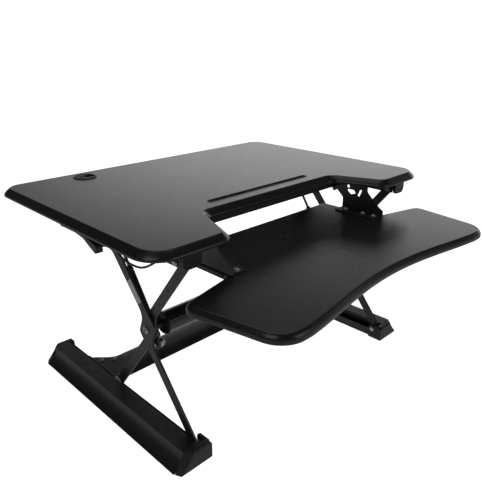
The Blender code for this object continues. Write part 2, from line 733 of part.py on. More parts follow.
def make_rail(side):
    """Inverted channel under the desktop; the arms and upper roller run inside it."""
    section = [(RAIL_IN, RAIL_BOTTOM), (RAIL_IN, RAIL_TOP), (RAIL_OUT, RAIL_TOP),
               (RAIL_OUT, RAIL_BOTTOM), (RAIL_OUT - SHEET, RAIL_BOTTOM),
               (RAIL_OUT - SHEET, RAIL_TOP - SHEET), (RAIL_IN + SHEET, RAIL_TOP - SHEET),
               (RAIL_IN + SHEET, RAIL_BOTTOM)]
    rail = plate([(z, side * x) for x, z in section], "Y", RAIL_FRONT, RAIL_REAR)
    cut(rail, across_x(INNER_TOP, PIN_R + GAP, *span(side, 0.32, 0.38)))
    xs = span(side, RAIL_OUT - SHEET / 2, RAIL_OUT + 0.009)
    join(rail, box((xs[0], -0.1799, 0.4525), (xs[1], -0.1668, RAIL_TOP - 0.0005)))
    finish_piece(rail, side_name("rail", side), "steel", "desktop")


def make_rail_end_cap(side):
    """The plug in the rail's front end, with rounded lower corners."""
    cap = rounded([(RAIL_TOP, RAIL_IN, 0.001), (RAIL_TOP, RAIL_OUT, 0.001),
                   (0.433, RAIL_OUT, 0.012), (0.433, RAIL_IN, 0.012)], 4)
    plug = plate([(p[0], side * p[1]) for p in cap], "Y", RAIL_CAP_FRONT, RAIL_FRONT - GAP)
    finish_piece(plug, side_name("rail_end_cap", side), "plastic", "desktop")


def make_track_liner(side):
    """A low-friction strip that the upper roller bears against."""
    xs = span(side, RAIL_IN + SHEET + GAP, 0.3400)
    strip = box((xs[0], 0.098, 0.4593), (xs[1], 0.3555, RAIL_TOP - SHEET - GAP))
    finish_piece(strip, side_name("track_liner", side), "nylon", "desktop")


def make_upper_pin(side):
    """The front upper pivot: a shouldered pin through the rail with a head on each side."""
    low = RAIL_IN - GAP - 0.0035
    walls_out = RAIL_OUT - SHEET - GAP - low
    run = RAIL_OUT + GAP + 0.0035 - low
    pin = turned(pin_profile([(0.0068, 0, 0.0035), (PIN_R, 0.0035, INNER_ARM_X[1] + GAP - low),
                              (0.0062, INNER_ARM_X[1] + GAP - low, walls_out),
                              (PIN_R, walls_out, run - 0.0035), (0.0068, run - 0.0035, run)]),
                 cross3(side * low, INNER_TOP), (side, 0, 0))
    finish_piece(pin, side_name("upper_pivot_pin", side), "zinc", "desktop")


# ---------------------------------------------------------------- keyboard tray
def tray_outline():
    """Right half from the rear edge round to the front, then mirrored."""
    half = [(TRAY_NECK_HALF, TRAY_REAR, 0.018), (TRAY_NECK_HALF, -0.1845, 0.016),
            (0.4035, -0.2190, 0.026), (0.3640, TRAY_FRONT, 0.055)]
    steps = 8
    for k in range(steps):
        t = 1 - k / steps
        y = TRAY_FRONT_CENTRE + (TRAY_FRONT - TRAY_FRONT_CENTRE) * (1.6 * t ** 2 - 0.6 * t ** 4)
        half.append((TRAY_HOLLOW_HALF * t, y, 0))
    return rounded(mirrored(half), 6)


def make_tray():
    shelf = board(tray_outline(), TRAY_UNDER, TRAY_TOP, TRAY_EDGE)
    finish_piece(shelf, "keyboard_tray", "board", "desktop")


BRACKET_FRONT, BRACKET_REAR = -0.2025, -0.0395
HANGER_FRONT, SEAT_REAR = -0.153, -0.080       # of the upper strap and of the lower flange
BRACKET_X = (TRAY_NECK_HALF + 0.0013, TRAY_NECK_HALF + 0.0038)
BRACKET_LOW, BRACKET_TOP = TRAY_TOP + GAP, DESK_UNDER - GAP
BRACKET_SHEET = 0.0025


def make_tray_bracket(side):
    """A pierced side plate that hangs the tray, with flanges on the tray and under the desktop."""
    outline = rounded([
        (BRACKET_REAR, BRACKET_TOP, 0), (BRACKET_REAR, 0.445, 0.006), (-0.049, 0.428, 0.003),
        (-0.060, 0.436, 0.003), (SEAT_REAR, 0.418, 0.008), (SEAT_REAR, BRACKET_LOW, 0),
        (BRACKET_FRONT, BRACKET_LOW, 0), (BRACKET_FRONT, 0.405, 0.004), (-0.191, 0.412, 0.008),
        (-0.173, 0.426, 0.012), (HANGER_FRONT, 0.446, 0.008), (HANGER_FRONT, BRACKET_TOP, 0)], 3)
    windows = [
        ring((-0.095, 0.4505), 0.0042, 12),
        rounded([(-0.087, 0.443, 0.003), (-0.113, 0.443, 0.003), (-0.119, 0.435, 0.002),
                 (-0.104, 0.430, 0.004)], 3),
        rounded([(-0.138, 0.447, 0.002), (-0.131, 0.447, 0.002), (-0.124, 0.430, 0.002),
                 (-0.130, 0.428, 0.002)], 3)]
    wall = plate(outline, "X", *span(side, *BRACKET_X), holes=windows)
    seat = span(side, 0.222, BRACKET_X[1] - 0.0005)
    hanger = span(side, BRACKET_X[0] + 0.0005, 0.296)
    join(wall,
         box((seat[0], BRACKET_FRONT + 0.004, BRACKET_LOW),
             (seat[1], SEAT_REAR - 0.004, BRACKET_LOW + BRACKET_SHEET)),
         box((hanger[0], HANGER_FRONT + 0.001, BRACKET_TOP - BRACKET_SHEET),
             (hanger[1], BRACKET_REAR - 0.001, BRACKET_TOP)))
    finish_piece(wall, side_name("tray_bracket", side), "steel", "desktop")


def make_tray_crossbeam():
    """An angle under the desktop, behind the cut-out, between the tray brackets."""
    top = DESK_UNDER - GAP
    section = [(-0.066, top), (-0.048, top), (-0.048, top - SHEET), (-0.064, top - SHEET),
               (-0.064, 0.4480), (-0.066, 0.4480)]
    reach = BRACKET_X[0] - GAP
    finish_piece(plate(section, "X", -reach, reach), "tray_crossbeam", "steel", "desktop")


# ---------------------------------------------------------------- handles, locks and cables
def make_handle(side):
    """A squeeze lever under the desktop's side edge: a deep front end on a thin bar."""
    outline = rounded([(-0.0015, 0.4255, 0.004), (0.0280, 0.4385, 0.030), (0.0450, 0.4475, 0.020),
                       (0.0750, 0.4520, 0.030), (0.1300, 0.4520, 0.004), (0.1300, 0.4608, 0.004),
                       (0.0900, 0.4590, 0.100), (0.0300, 0.4530, 0.050), (-0.0015, 0.4435, 0.004)], 4)
    lever = baked(plate(outline, "X", *span(side, *HANDLE_X),
                        holes=[ring(HANDLE_PIVOT, HANDLE_PIN_R + GAP, 12)]))
    edge = lever.modifiers.new("Bevel", "BEVEL")
    edge.width = 0.0015
    edge.segments = 1
    edge.limit_method = "ANGLE"
    edge.angle_limit = math.radians(60)
    finish_piece(lever, side_name("handle", side), "plastic", side_name("handle", side))


def make_handle_bracket(side):
    """The saddle under the desktop with the riveted pin that a handle turns on."""
    top, low, sheet = DESK_UNDER - GAP, 0.4530, 0.0017
    inner, outer = HANDLE_X[0] - GAP - sheet, HANDLE_X[1] + GAP + sheet
    section = [(inner, low), (inner, top), (outer, top), (outer, low), (outer - sheet, low),
               (outer - sheet, top - sheet), (inner + sheet, top - sheet), (inner + sheet, low)]
    saddle = plate([(z, side * x) for x, z in section], "Y", 0.116, 0.134)
    head = 0.001
    pin = turned(pin_profile([(0.0032, 0, head), (HANDLE_PIN_R, head, outer - inner + head),
                              (0.0032, outer - inner + head, outer - inner + 2 * head)]),
                 cross3(side * (inner - head), HANDLE_PIVOT), (side, 0, 0), 12)
    finish_piece(join(saddle, pin), side_name("handle_bracket", side), "steel", "desktop")


def make_cable_stop(side):
    """The block under the desktop that holds the cable's sheath beside the handle."""
    xs = span(side, 0.4085, 0.4215)
    block = box((xs[0], -0.0145, 0.4435), (xs[1], -0.0055, DESK_UNDER - GAP))
    ferrule = turned(pin_profile([(0.0034, -0.001, 0.0085), (0.0026, 0.0085, 0.0095)]),
                     (side * 0.415, -0.0145, 0.4502), (0, -1, 0), 12)
    finish_piece(join(block, ferrule), side_name("cable_stop", side), "plastic", "desktop")


def make_cable(side):
    """The sheathed cable from the handle to the rail, sagging between its ends."""
    curve = bpy.data.curves.new("cable", "CURVE")
    curve.dimensions = "3D"
    curve.bevel_depth = CABLE_R
    curve.bevel_resolution = 2
    curve.use_fill_caps = True
    points = smooth_route([sided(side, p) for p in CABLE_ROUTE], 5)
    spline = curve.splines.new("POLY")
    spline.points.add(len(points) - 1)
    for point, place in zip(spline.points, points):
        point.co = (*place, 1)
    guide = bpy.data.objects.new("cable", curve)
    finish_piece(as_mesh(guide), side_name("release_cable", side), "cable", "desktop")


def smooth_route(route, pieces):
    """Points of a Catmull-Rom curve through the route."""
    padded = [route[0] * 2 - route[1], *route, route[-1] * 2 - route[-2]]
    points = []
    for a, b, c, d in zip(padded, padded[1:], padded[2:], padded[3:]):
        for k in range(pieces):
            t = k / pieces
            points.append(0.5 * (2 * b + (c - a) * t + (2 * a - 5 * b + 4 * c - d) * t ** 2
                                 + (3 * b - a - 3 * c + d) * t ** 3))
    return points + [route[-1]]


def make_lock_slide(side):
    """The height lock in the rail: a toothed slide drawn forward by the cable."""
    low, high = 0.4470, 0.4560
    pitch = 0.008
    outline = [(-0.150, low), (-0.150, high), (-0.042, high), (-0.042, low)]
    teeth = 5
    for k in range(teeth):
        y = -0.050 - k * pitch
        outline += [(y, low), (y - pitch * 0.25, low + 0.003), (y - pitch * 0.5, low + 0.003),
                    (y - pitch * 0.75, low)]
    slide = plate(outline, "X", *span(side, *LOCK_X))
    finish_piece(slide, side_name("lock_slide", side), "zinc", side_name("lock_slide", side))


def make_lock_guide(side):
    """The block in the rail that the lock slide runs through."""
    xs = span(side, 0.3475, 0.3620)
    hole = span(side, LOCK_X[0] - GAP, LOCK_X[1] + GAP)
    block = box((xs[0], -0.134, 0.4440), (xs[1], -0.112, RAIL_TOP - SHEET - GAP))
    slot = box((hole[0], -0.145, 0.4467), (hole[1], -0.105, 0.4563))
    finish_piece(cut(block, slot), side_name("lock_guide", side), "plastic", "desktop")


# ---------------------------------------------------------------- build
make_crossbar()
make_cross_rod()
make_torque_tube()
make_desktop()
make_grommet()
make_tray()
make_tray_crossbeam()
for side in SIDES:
    make_foot(side)
    make_foot_cap(side, "foot_front_cap", FOOT_FRONT, 1)
    make_foot_cap(side, "foot_rear_cap", FOOT_REAR, -1)
    make_crossbar_bracket(side)
    make_lower_pin(side)
    make_arm(side, "outer_arm", "outer_arms", OUTER_LOW, OUTER_TOP, outer_arm_corners(),
             OUTER_ARM_X, (OUTER_TOP, 0.3315, 0.3430))
    make_arm(side, "inner_arm", "inner_arms", INNER_LOW, INNER_TOP, inner_arm_corners(),
             INNER_ARM_X, (INNER_LOW, 0.3350, 0.3460))
    make_pivot_bolt(side)
    make_roller(side, "roller_upper", OUTER_TOP, 0.3315, 0.3395)
    make_roller(side, "roller_lower", INNER_LOW, 0.3385, 0.3460)
    make_tube_end(side)
    make_spring_bolt(side)
    make_gas_spring(side)
    make_rail(side)
    make_rail_end_cap(side)
    make_track_liner(side)
    make_upper_pin(side)
    make_tray_bracket(side)
    make_handle(side)
    make_handle_bracket(side)
    make_cable_stop(side)
    make_cable(side)
    make_lock_slide(side)
    make_lock_guide(side)
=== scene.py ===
"""The looks of the standing desk converter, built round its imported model. Metres, +Z up."""
import json
import math

import bmesh
import bpy
from mathutils import Matrix, Vector, noise


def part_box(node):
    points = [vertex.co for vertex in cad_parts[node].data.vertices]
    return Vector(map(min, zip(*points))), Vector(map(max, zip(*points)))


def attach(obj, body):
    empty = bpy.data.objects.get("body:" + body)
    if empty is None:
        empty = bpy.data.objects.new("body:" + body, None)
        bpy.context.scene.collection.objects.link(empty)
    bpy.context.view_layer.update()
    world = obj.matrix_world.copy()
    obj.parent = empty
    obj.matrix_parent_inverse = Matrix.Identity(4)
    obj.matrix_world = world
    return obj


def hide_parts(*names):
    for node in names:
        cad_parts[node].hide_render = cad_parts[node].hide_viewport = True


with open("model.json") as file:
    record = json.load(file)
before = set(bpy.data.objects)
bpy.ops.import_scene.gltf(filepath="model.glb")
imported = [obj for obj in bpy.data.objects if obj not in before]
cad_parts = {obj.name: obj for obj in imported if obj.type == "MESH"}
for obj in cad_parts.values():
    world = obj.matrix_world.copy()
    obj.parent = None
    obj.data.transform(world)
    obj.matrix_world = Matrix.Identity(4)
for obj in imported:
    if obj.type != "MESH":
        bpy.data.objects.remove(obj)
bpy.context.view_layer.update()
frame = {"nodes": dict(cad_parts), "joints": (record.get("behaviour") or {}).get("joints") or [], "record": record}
JOINTS = {joint["name"]: joint for joint in frame["joints"]}
BODY_OF = {node: body for body, nodes in frame["record"]["behaviour"]["bodies"].items()
           for node in nodes}
SIDES = (("left", -1), ("right", 1))


def joint_at(name):
    """Where a joint's axis stands."""
    return Vector(JOINTS[name]["pos_m"])


# ---------------------------------------------------------------- camera, light and floor
CAMERA_PLACE = (-0.8923, -0.8653, 0.8141)
CAMERA_TILT, CAMERA_TURN = 69.1, -44.48      # degrees
LENS, SENSOR = 39.73, 36         # millimetres


def make_camera():
    camera = bpy.data.objects.new("camera", bpy.data.cameras.new("camera"))
    camera.location = CAMERA_PLACE
    camera.rotation_euler = (math.radians(CAMERA_TILT), 0, math.radians(CAMERA_TURN))
    camera.data.lens = LENS
    camera.data.sensor_width = SENSOR
    bpy.context.scene.collection.objects.link(camera)
    bpy.context.scene.camera = camera


def make_light(name, place, target, size, power):
    light = bpy.data.lights.new(name, "AREA")
    light.shape = "RECTANGLE"
    light.size, light.size_y = size
    light.energy = power
    obj = bpy.data.objects.new(name, light)
    obj.location = place
    aim = Vector(target) - Vector(place)
    obj.rotation_euler = aim.to_track_quat("-Z", "Y").to_euler()
    bpy.context.scene.collection.objects.link(obj)


# brightness of the surroundings, as (height, grey): 0 is straight down, 0.5 level, 1 straight up
BACKDROP = ((0.00, 0.36), (0.45, 0.42), (0.49, 1.45), (0.650, 1.40), (0.705, 0.05), (1.00, 0.02))
ROOM = ((0.00, 0.36), (0.45, 0.42), (0.50, 0.16), (0.56, 0.07), (0.66, 0.04), (1.00, 0.02))


BACKDROP_SIDE = (0.9, 0.44, 0)   # the side of the room where the backdrop stands
BACKDROP_FADE = 0.55, 1.0        # room to backdrop, as a direction's share along that side


def make_world():
    """A studio with a pale floor, a white backdrop past the object and a dim room elsewhere."""
    world = bpy.data.worlds.new("studio")
    bpy.context.scene.world = world
    world.use_nodes = True
    nodes, links = world.node_tree.nodes, world.node_tree.links
    where = nodes.new("ShaderNodeTexCoord").outputs["Generated"]
    split = nodes.new("ShaderNodeSeparateXYZ")
    links.new(where, split.inputs[0])
    height = nodes.new("ShaderNodeMapRange")
    height.inputs["From Min"].default_value = -1
    links.new(split.outputs["Z"], height.inputs["Value"])
    ahead = nodes.new("ShaderNodeVectorMath")
    ahead.operation = "DOT_PRODUCT"
    ahead.inputs[1].default_value = BACKDROP_SIDE
    links.new(where, ahead.inputs[0])
    spread = nodes.new("ShaderNodeMapRange")
    spread.interpolation_type = "SMOOTHSTEP"
    spread.inputs["From Min"].default_value = BACKDROP_FADE[0]
    spread.inputs["From Max"].default_value = BACKDROP_FADE[1]
    links.new(ahead.outputs["Value"], spread.inputs["Value"])
    mix = nodes.new("ShaderNodeMix")
    mix.data_type = "RGBA"
    links.new(spread.outputs["Result"], mix.inputs["Factor"])
    for socket, bands in (("A", ROOM), ("B", BACKDROP)):
        ramp = nodes.new("ShaderNodeValToRGB")
        links.new(height.outputs["Result"], ramp.inputs["Fac"])
        stops = ramp.color_ramp.elements
        stops[0].position, stops[1].position = bands[0][0], bands[-1][0]
        for position, _ in bands[1:-1]:
            stops.new(position)
        for stop, (_, grey) in zip(stops, bands):
            stop.color = (grey, grey, grey, 1)
        links.new(ramp.outputs["Color"], mix.inputs[socket])
    links.new(mix.outputs["Result"], nodes["Background"].inputs["Color"])


# each light's place, size and power in watts; all of them point at AIM
AIM = (0, 0, 0.2)
SOFTBOXES = (("softbox_left", (-2.2, -0.6, 2.3), (1.6, 1.6), 11),
             ("softbox_front", (0.9, -2.6, 1.5), (1.8, 1.2), 8),
             ("softbox_top", (0.4, 0.6, 2.9), (2.2, 2.2), 12))
FLOOR_DROP = 0.0004              # the floor lies just below the feet
FLOOR_REACH = 30.0               # half the floor, with the white backdrop standing near its edge


def make_stage():
    bpy.context.scene.view_settings.view_transform = "Standard"
    make_world()
    for name, place, size, power in SOFTBOXES:
        make_light(name, place, AIM, size, power)
    white = bpy.data.materials.new("studio_white")
    white.use_nodes = True
    shader = white.node_tree.nodes["Principled BSDF"]
    shader.inputs["Base Color"].default_value = (0.93, 0.93, 0.93, 1)
    shader.inputs["Roughness"].default_value = 0.9
    shader.inputs["Emission Color"].default_value = (1, 1, 1, 1)
    shader.inputs["Emission Strength"].default_value = 1.0
    bpy.ops.mesh.primitive_plane_add(size=2 * FLOOR_REACH, location=(0, 0, -FLOOR_DROP))
    make_stage_piece("floor", white)
    bpy.ops.mesh.primitive_cylinder_add(vertices=64, radius=FLOOR_REACH - 1, depth=FLOOR_REACH,
                                        end_fill_type="NOTHING", location=(0, 0, FLOOR_REACH / 2))
    make_stage_piece("backdrop", white)


def make_stage_piece(name, material):
    """Finish a white surface that only the camera sees, so it neither lights nor reflects."""
    obj = bpy.context.object
    obj.name = name
    obj.data.materials.append(material)
    obj.visible_glossy = False
    obj.visible_diffuse = False
    obj.visible_shadow = False


# ---------------------------------------------------------------- materials
CLOUD_ROUGHNESS = 0.55           # how much fine detail every cloud texture has


class Surface:
    """A Principled material with helpers for procedural colour, gloss and relief."""

    def __init__(self, name, colour, roughness, metallic=0.0, stretch=(1, 1, 1)):
        self.material = bpy.data.materials.new(name)
        self.material.use_nodes = True
        self.nodes = self.material.node_tree.nodes
        self.links = self.material.node_tree.links
        self.shader = self.nodes["Principled BSDF"]
        self.set("Base Color", (*colour, 1))
        self.set("Roughness", roughness)
        self.set("Metallic", metallic)
        where = self.nodes.new("ShaderNodeTexCoord")
        mapping = self.nodes.new("ShaderNodeMapping")
        mapping.inputs["Scale"].default_value = stretch
        self.links.new(where.outputs["Object"], mapping.inputs["Vector"])
        self.where = mapping.outputs["Vector"]
        self.relief = None

    def set(self, socket, value):
        self.shader.inputs[socket].default_value = value
        return self

    def cloud(self, scale, detail=4.0):
        node = self.nodes.new("ShaderNodeTexNoise")
        node.inputs["Scale"].default_value = scale
        node.inputs["Detail"].default_value = detail
        node.inputs["Roughness"].default_value = CLOUD_ROUGHNESS
        self.links.new(self.where, node.inputs["Vector"])
        return node.outputs["Fac"]

    def cells(self, scale):
        node = self.nodes.new("ShaderNodeTexVoronoi")
        node.inputs["Scale"].default_value = scale
        self.links.new(self.where, node.inputs["Vector"])
        return node.outputs["Distance"]

    def ramped(self, value, low, high, start, end):
        node = self.nodes.new("ShaderNodeMapRange")
        for socket, number in (("From Min", low), ("From Max", high),
                               ("To Min", start), ("To Max", end)):
            node.inputs[socket].default_value = number
        self.links.new(value, node.inputs["Value"])
        return node.outputs["Result"]

    def tint(self, factor, other):
        """Mix the colour so far towards another one."""
        mix = self.nodes.new("ShaderNodeMix")
        mix.data_type = "RGBA"
        mix.inputs["B"].default_value = (*other, 1)
        socket = self.shader.inputs["Base Color"]
        if socket.is_linked:
            self.links.new(socket.links[0].from_socket, mix.inputs["A"])
        else:
            mix.inputs["A"].default_value = socket.default_value
        self.links.new(factor, mix.inputs["Factor"])
        self.links.new(mix.outputs["Result"], socket)
        return self

    def gloss(self, value, low, high):
        """Roughness between two values, by a texture."""
        self.links.new(self.ramped(value, 0.3, 0.7, low, high), self.shader.inputs["Roughness"])
        return self

    def bump(self, value, depth, strength=1.0):
        node = self.nodes.new("ShaderNodeBump")
        node.inputs["Distance"].default_value = depth
        node.inputs["Strength"].default_value = strength
        self.links.new(value, node.inputs["Height"])
        if self.relief:
            self.links.new(self.relief, node.inputs["Normal"])
        self.relief = node.outputs["Normal"]
        self.links.new(self.relief, self.shader.inputs["Normal"])
        return self

    def wear_and_edge_highlight(self, other, start, end):
        """Paler convex edges, broken up by a cloud: partly rubbed wear and partly a painted edge highlight."""
        # the pale tint on convex edges is partly rubbed wear and partly a painted edge highlight
        shape = self.nodes.new("ShaderNodeNewGeometry")
        edge = self.ramped(shape.outputs["Pointiness"], start, end, 0, 1)
        broken = self.nodes.new("ShaderNodeMath")
        broken.operation = "MULTIPLY"
        self.links.new(edge, broken.inputs[0])
        self.links.new(self.ramped(self.cloud(60), 0.4, 0.62, 0, 1), broken.inputs[1])
        return self.tint(broken.outputs[0], other)


def laminate():
    """Black vinyl-wrapped board with a fine pebbled grain and a satin sheen."""
    skin = Surface("laminate", (0.0125, 0.0125, 0.0135), 0.36)
    skin.tint(skin.ramped(skin.cloud(7), 0.35, 0.65, 0, 1), (0.0138, 0.0138, 0.0148))
    skin.tint(skin.ramped(skin.cloud(2600, 2), 0.56, 0.70, 0, 0.5), (0.030, 0.030, 0.031))
    skin.gloss(skin.cloud(28), 0.27, 0.29)
    skin.bump(skin.cells(1500), 0.00003, 0.30)
    skin.bump(skin.cloud(900, 2), 0.00003, 0.20)
    return skin.set("Specular IOR Level", 0.5).material


def board_underside():
    """The unwrapped melamine backing of a board: duller, with a faint fibre fleck."""
    back = Surface("board_underside", (0.016, 0.016, 0.016), 0.6, stretch=(1, 6, 1))
    back.tint(back.ramped(back.cloud(700, 3), 0.5, 0.7, 0, 0.6), (0.028, 0.027, 0.026))
    return back.gloss(back.cloud(40), 0.52, 0.68).bump(back.cloud(900), 0.00004, 0.5).material


def powder_coat():
    """Black powder coat: orange peel, fine speckle and pale edges, partly rubbed paint and partly a painted
    highlight.
    """
    coat = Surface("powder_coat", (0.016, 0.016, 0.017), 0.40)
    coat.tint(coat.ramped(coat.cloud(12), 0.35, 0.65, 0, 1), (0.018, 0.018, 0.019))
    coat.tint(coat.ramped(coat.cells(3200), 0.0, 0.16, 0.35, 0), (0.05, 0.05, 0.05))
    # paler convex edges: partly rubbed paint, partly a painted edge highlight
    coat.wear_and_edge_highlight((0.075, 0.075, 0.078), 0.54, 0.64)
    coat.gloss(coat.cloud(90), 0.33, 0.46)
    coat.bump(coat.cloud(520, 2), 0.00012, 0.45)
    return coat.bump(coat.cells(2400), 0.00003, 0.5).set("Specular IOR Level", 0.55).material


def satin_tube():
    """Smoother semi-gloss black lacquer over drawn tube, with faint draw lines along X."""
    lacquer = Surface("satin_tube", (0.012, 0.012, 0.013), 0.24, stretch=(0.04, 1, 1))
    lacquer.tint(lacquer.ramped(lacquer.cloud(160), 0.4, 0.65, 0, 0.7), (0.020, 0.020, 0.021))
    lacquer.gloss(lacquer.cloud(700, 3), 0.20, 0.30)
    lacquer.bump(lacquer.cloud(1200, 3), 0.00003, 0.5)
    return lacquer.set("Coat Weight", 0.3).set("Coat Roughness", 0.12).material


def zinc():
    """Clear zinc plate: mottled, with a fine turned finish."""
    plating = Surface("zinc", (0.50, 0.51, 0.53), 0.32, 1.0)
    plating.tint(plating.ramped(plating.cloud(240), 0.4, 0.65, 0, 1), (0.36, 0.37, 0.38))
    plating.tint(plating.ramped(plating.cloud(900, 2), 0.58, 0.7, 0, 0.6), (0.62, 0.60, 0.54))
    plating.gloss(plating.cloud(500), 0.24, 0.42)
    return plating.bump(plating.cells(3000), 0.00002, 0.6).material


def chrome():
    """Hard chrome rod with hairline marks."""
    plating = Surface("chrome", (0.72, 0.73, 0.75), 0.08, 1.0, (1, 1, 0.05))
    plating.tint(plating.ramped(plating.cloud(300), 0.45, 0.65, 0, 0.5), (0.60, 0.61, 0.64))
    plating.gloss(plating.cloud(1400, 3), 0.05, 0.14)
    return plating.bump(plating.cloud(1500), 0.00001, 0.3).material


def moulded_plastic():
    """Black moulded nylon with a spark-eroded stipple and pale corners, partly rubbed and partly a painted
    highlight.
    """
    skin = Surface("moulded_plastic", (0.015, 0.015, 0.015), 0.46)
    skin.tint(skin.ramped(skin.cloud(35), 0.4, 0.65, 0, 1), (0.021, 0.021, 0.021))
    # paler convex corners: partly rubbed plastic, partly a painted edge highlight
    skin.wear_and_edge_highlight((0.06, 0.06, 0.06), 0.55, 0.68)
    skin.gloss(skin.cloud(120), 0.40, 0.54)
    return skin.bump(skin.cells(1900), 0.00008, 0.5).bump(skin.cloud(500), 0.00004, 0.4).material


def natural_nylon():
    """Off-white bearing nylon, a little translucent, greyed by grease."""
    skin = Surface("natural_nylon", (0.52, 0.51, 0.47), 0.42)
    skin.tint(skin.ramped(skin.cloud(160), 0.45, 0.68, 0, 0.8), (0.25, 0.245, 0.23))
    skin.gloss(skin.cloud(300), 0.34, 0.52).bump(skin.cloud(1100), 0.00004, 0.5)
    return skin.set("Subsurface Weight", 0.12).set("Subsurface Scale", 0.004).material


def rubber():
    """Matt black rubber with a dusty bloom."""
    skin = Surface("rubber", (0.020, 0.020, 0.020), 0.85)
    skin.tint(skin.ramped(skin.cloud(220), 0.45, 0.7, 0, 0.7), (0.038, 0.037, 0.036))
    return skin.gloss(skin.cloud(90), 0.75, 0.93).bump(skin.cells(1400), 0.00010, 0.6).material


def cable_sheath():
    """Extruded cable sheath: smooth, slightly waxy, with faint wind marks."""
    skin = Surface("cable_sheath", (0.014, 0.014, 0.014), 0.34)
    skin.tint(skin.ramped(skin.cloud(300), 0.45, 0.65, 0, 1), (0.024, 0.024, 0.024))
    return skin.gloss(skin.cloud(400), 0.28, 0.42).bump(skin.cloud(900), 0.00005, 0.5).material


def label_film():
    """Blank silver-grey film label with a satin, slightly crinkled surface."""
    film = Surface("label_film", (0.42, 0.43, 0.44), 0.38, 0.3)
    film.tint(film.ramped(film.cloud(90), 0.4, 0.65, 0, 1), (0.52, 0.53, 0.54))
    return film.gloss(film.cloud(200), 0.30, 0.46).bump(film.cloud(250, 2), 0.00010, 0.4).material


def weld_metal():
    """Painted weld bead, with the ripple left by the arc under the paint."""
    bead = Surface("weld_metal", (0.017, 0.017, 0.018), 0.42)
    bead.tint(bead.ramped(bead.cloud(500), 0.45, 0.7, 0, 0.8), (0.034, 0.033, 0.033))
    return bead.gloss(bead.cloud(600), 0.34, 0.55).bump(bead.cloud(1600), 0.00012, 0.6).material


FINISHES = {make.__name__: make() for make in (
    laminate, board_underside, powder_coat, satin_tube, zinc, chrome, moulded_plastic,
    natural_nylon, rubber, cable_sheath, label_film, weld_metal)}


# ---------------------------------------------------------------- mesh helpers
SMOOTH_BELOW = math.radians(38)  # faces that meet at less than this are shaded as one


def piece(name, shape, finish, body, level=True):
    """Make an object from a bmesh, finish it and let it ride on its body."""
    bmesh.ops.recalc_face_normals(shape, faces=shape.faces)
    mesh = bpy.data.meshes.new(name)
    shape.to_mesh(mesh)
    shape.free()
    obj = bpy.data.objects.new(name, mesh)
    bpy.context.scene.collection.objects.link(obj)
    obj.data.materials.append(FINISHES[finish])
    shade(obj, level)
    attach(obj, body)
    return obj


def shade(obj, level=True):
    """Smooth shading with sharp edges past an angle, and large faces kept flat."""
    obj.data.shade_smooth()
    obj.data.set_sharp_from_angle(angle=SMOOTH_BELOW)
    if level:
        normals = obj.modifiers.new("Level", "WEIGHTED_NORMAL")
        normals.keep_sharp = True


def axis_frame(start, direction):
    """A matrix whose Z runs along direction from start."""
    turn = Vector((0, 0, 1)).rotation_difference(Vector(direction).normalized())
    return Matrix.Translation(Vector(start)) @ turn.to_matrix().to_4x4()


def ring_radius(level, angle):
    """The radius of a (distance, radius, hexagon) level: round, or cut by a hexagon across flats."""
    radius = level[1]
    if len(level) > 2:
        sector = math.pi / 3
        flat = level[2] / 2 / math.cos((angle + sector / 2) % sector - sector / 2)
        radius = min(radius, flat)
    return radius


def turned(levels, start, direction, steps=48, ring=False):
    """A turned or hexagonal solid through (distance, radius, hexagon across flats) levels."""
    shape = bmesh.new()
    place = axis_frame(start, direction)
    loops = []
    for level in levels:
        loop = []
        for k in range(steps):
            angle = 2 * math.pi * k / steps
            radius = ring_radius(level, angle)
            spot = (radius * math.cos(angle), radius * math.sin(angle), level[0])
            loop.append(shape.verts.new(place @ Vector(spot)))
        loops.append(loop)
    pairs = list(zip(loops, loops[1:]))
    if ring:
        pairs.append((loops[-1], loops[0]))
    else:
        shape.faces.new(loops[0][::-1])
        shape.faces.new(loops[-1])
    for low, high in pairs:
        for k in range(steps):
            after = (k + 1) % steps
            shape.faces.new((low[k], low[after], high[after], high[k]))
    return shape


def softened(profile, radius=0.0004, steps=3):
    """Round the corners of a (distance, radius) profile of a turned solid."""
    points = [Vector(p[:2]) for p in profile]
    result = [profile[0]]
    for before, here, after in zip(points, points[1:], points[2:]):
        back, ahead = before - here, after - here
        reach = min(radius, back.length / 2.1, ahead.length / 2.1)
        start, end = here + back.normalized() * reach, here + ahead.normalized() * reach
        for k in range(steps + 1):
            t = k / steps
            spot = start * (1 - t) ** 2 + here * 2 * t * (1 - t) + end * t ** 2
            result.append((spot.x, max(spot.y, 0.00001)))
    return result + [profile[-1]]


def rounded(corners, fineness=10):
    """Outline points of a polygon whose corners are (x, y, radius)."""
    points = []
    count = len(corners)
    for i, (x, y, radius) in enumerate(corners):
        here = Vector((x, y))
        back = (Vector(corners[i - 1][:2]) - here).normalized()
        ahead = (Vector(corners[(i + 1) % count][:2]) - here).normalized()
        half = back.angle(ahead) / 2
        if radius <= 0 or half > math.radians(89):
            points.append(here)
            continue
        centre = here + (back + ahead).normalized() * (radius / math.sin(half))
        start = here + back * (radius / math.tan(half)) - centre
        end = here + ahead * (radius / math.tan(half)) - centre
        turn = start.angle_signed(end)
        steps = max(3, round(fineness * abs(turn) / (math.pi / 2)))
        for k in range(steps + 1):
            points.append(centre + Matrix.Rotation(-turn * k / steps, 2) @ start)
    return points


def slab(outline, low, high):
    """A flat plate between two heights, from an (x, y) outline."""
    shape = bmesh.new()
    floor = [shape.verts.new((p[0], p[1], low)) for p in outline]
    roof = [shape.verts.new((p[0], p[1], high)) for p in outline]
    shape.faces.new(floor[::-1])
    shape.faces.new(roof)
    count = len(outline)
    for k in range(count):
        after = (k + 1) % count
        shape.faces.new((floor[k], floor[after], roof[after], roof[k]))
    return shape


def block(low, high):
    """A box between two corners, whatever their order."""
    xs, ys, zs = (sorted(pair) for pair in zip(low, high))
    corners = [(xs[0], ys[0]), (xs[1], ys[0]), (xs[1], ys[1]), (xs[0], ys[1])]
    return slab(corners, *zs)


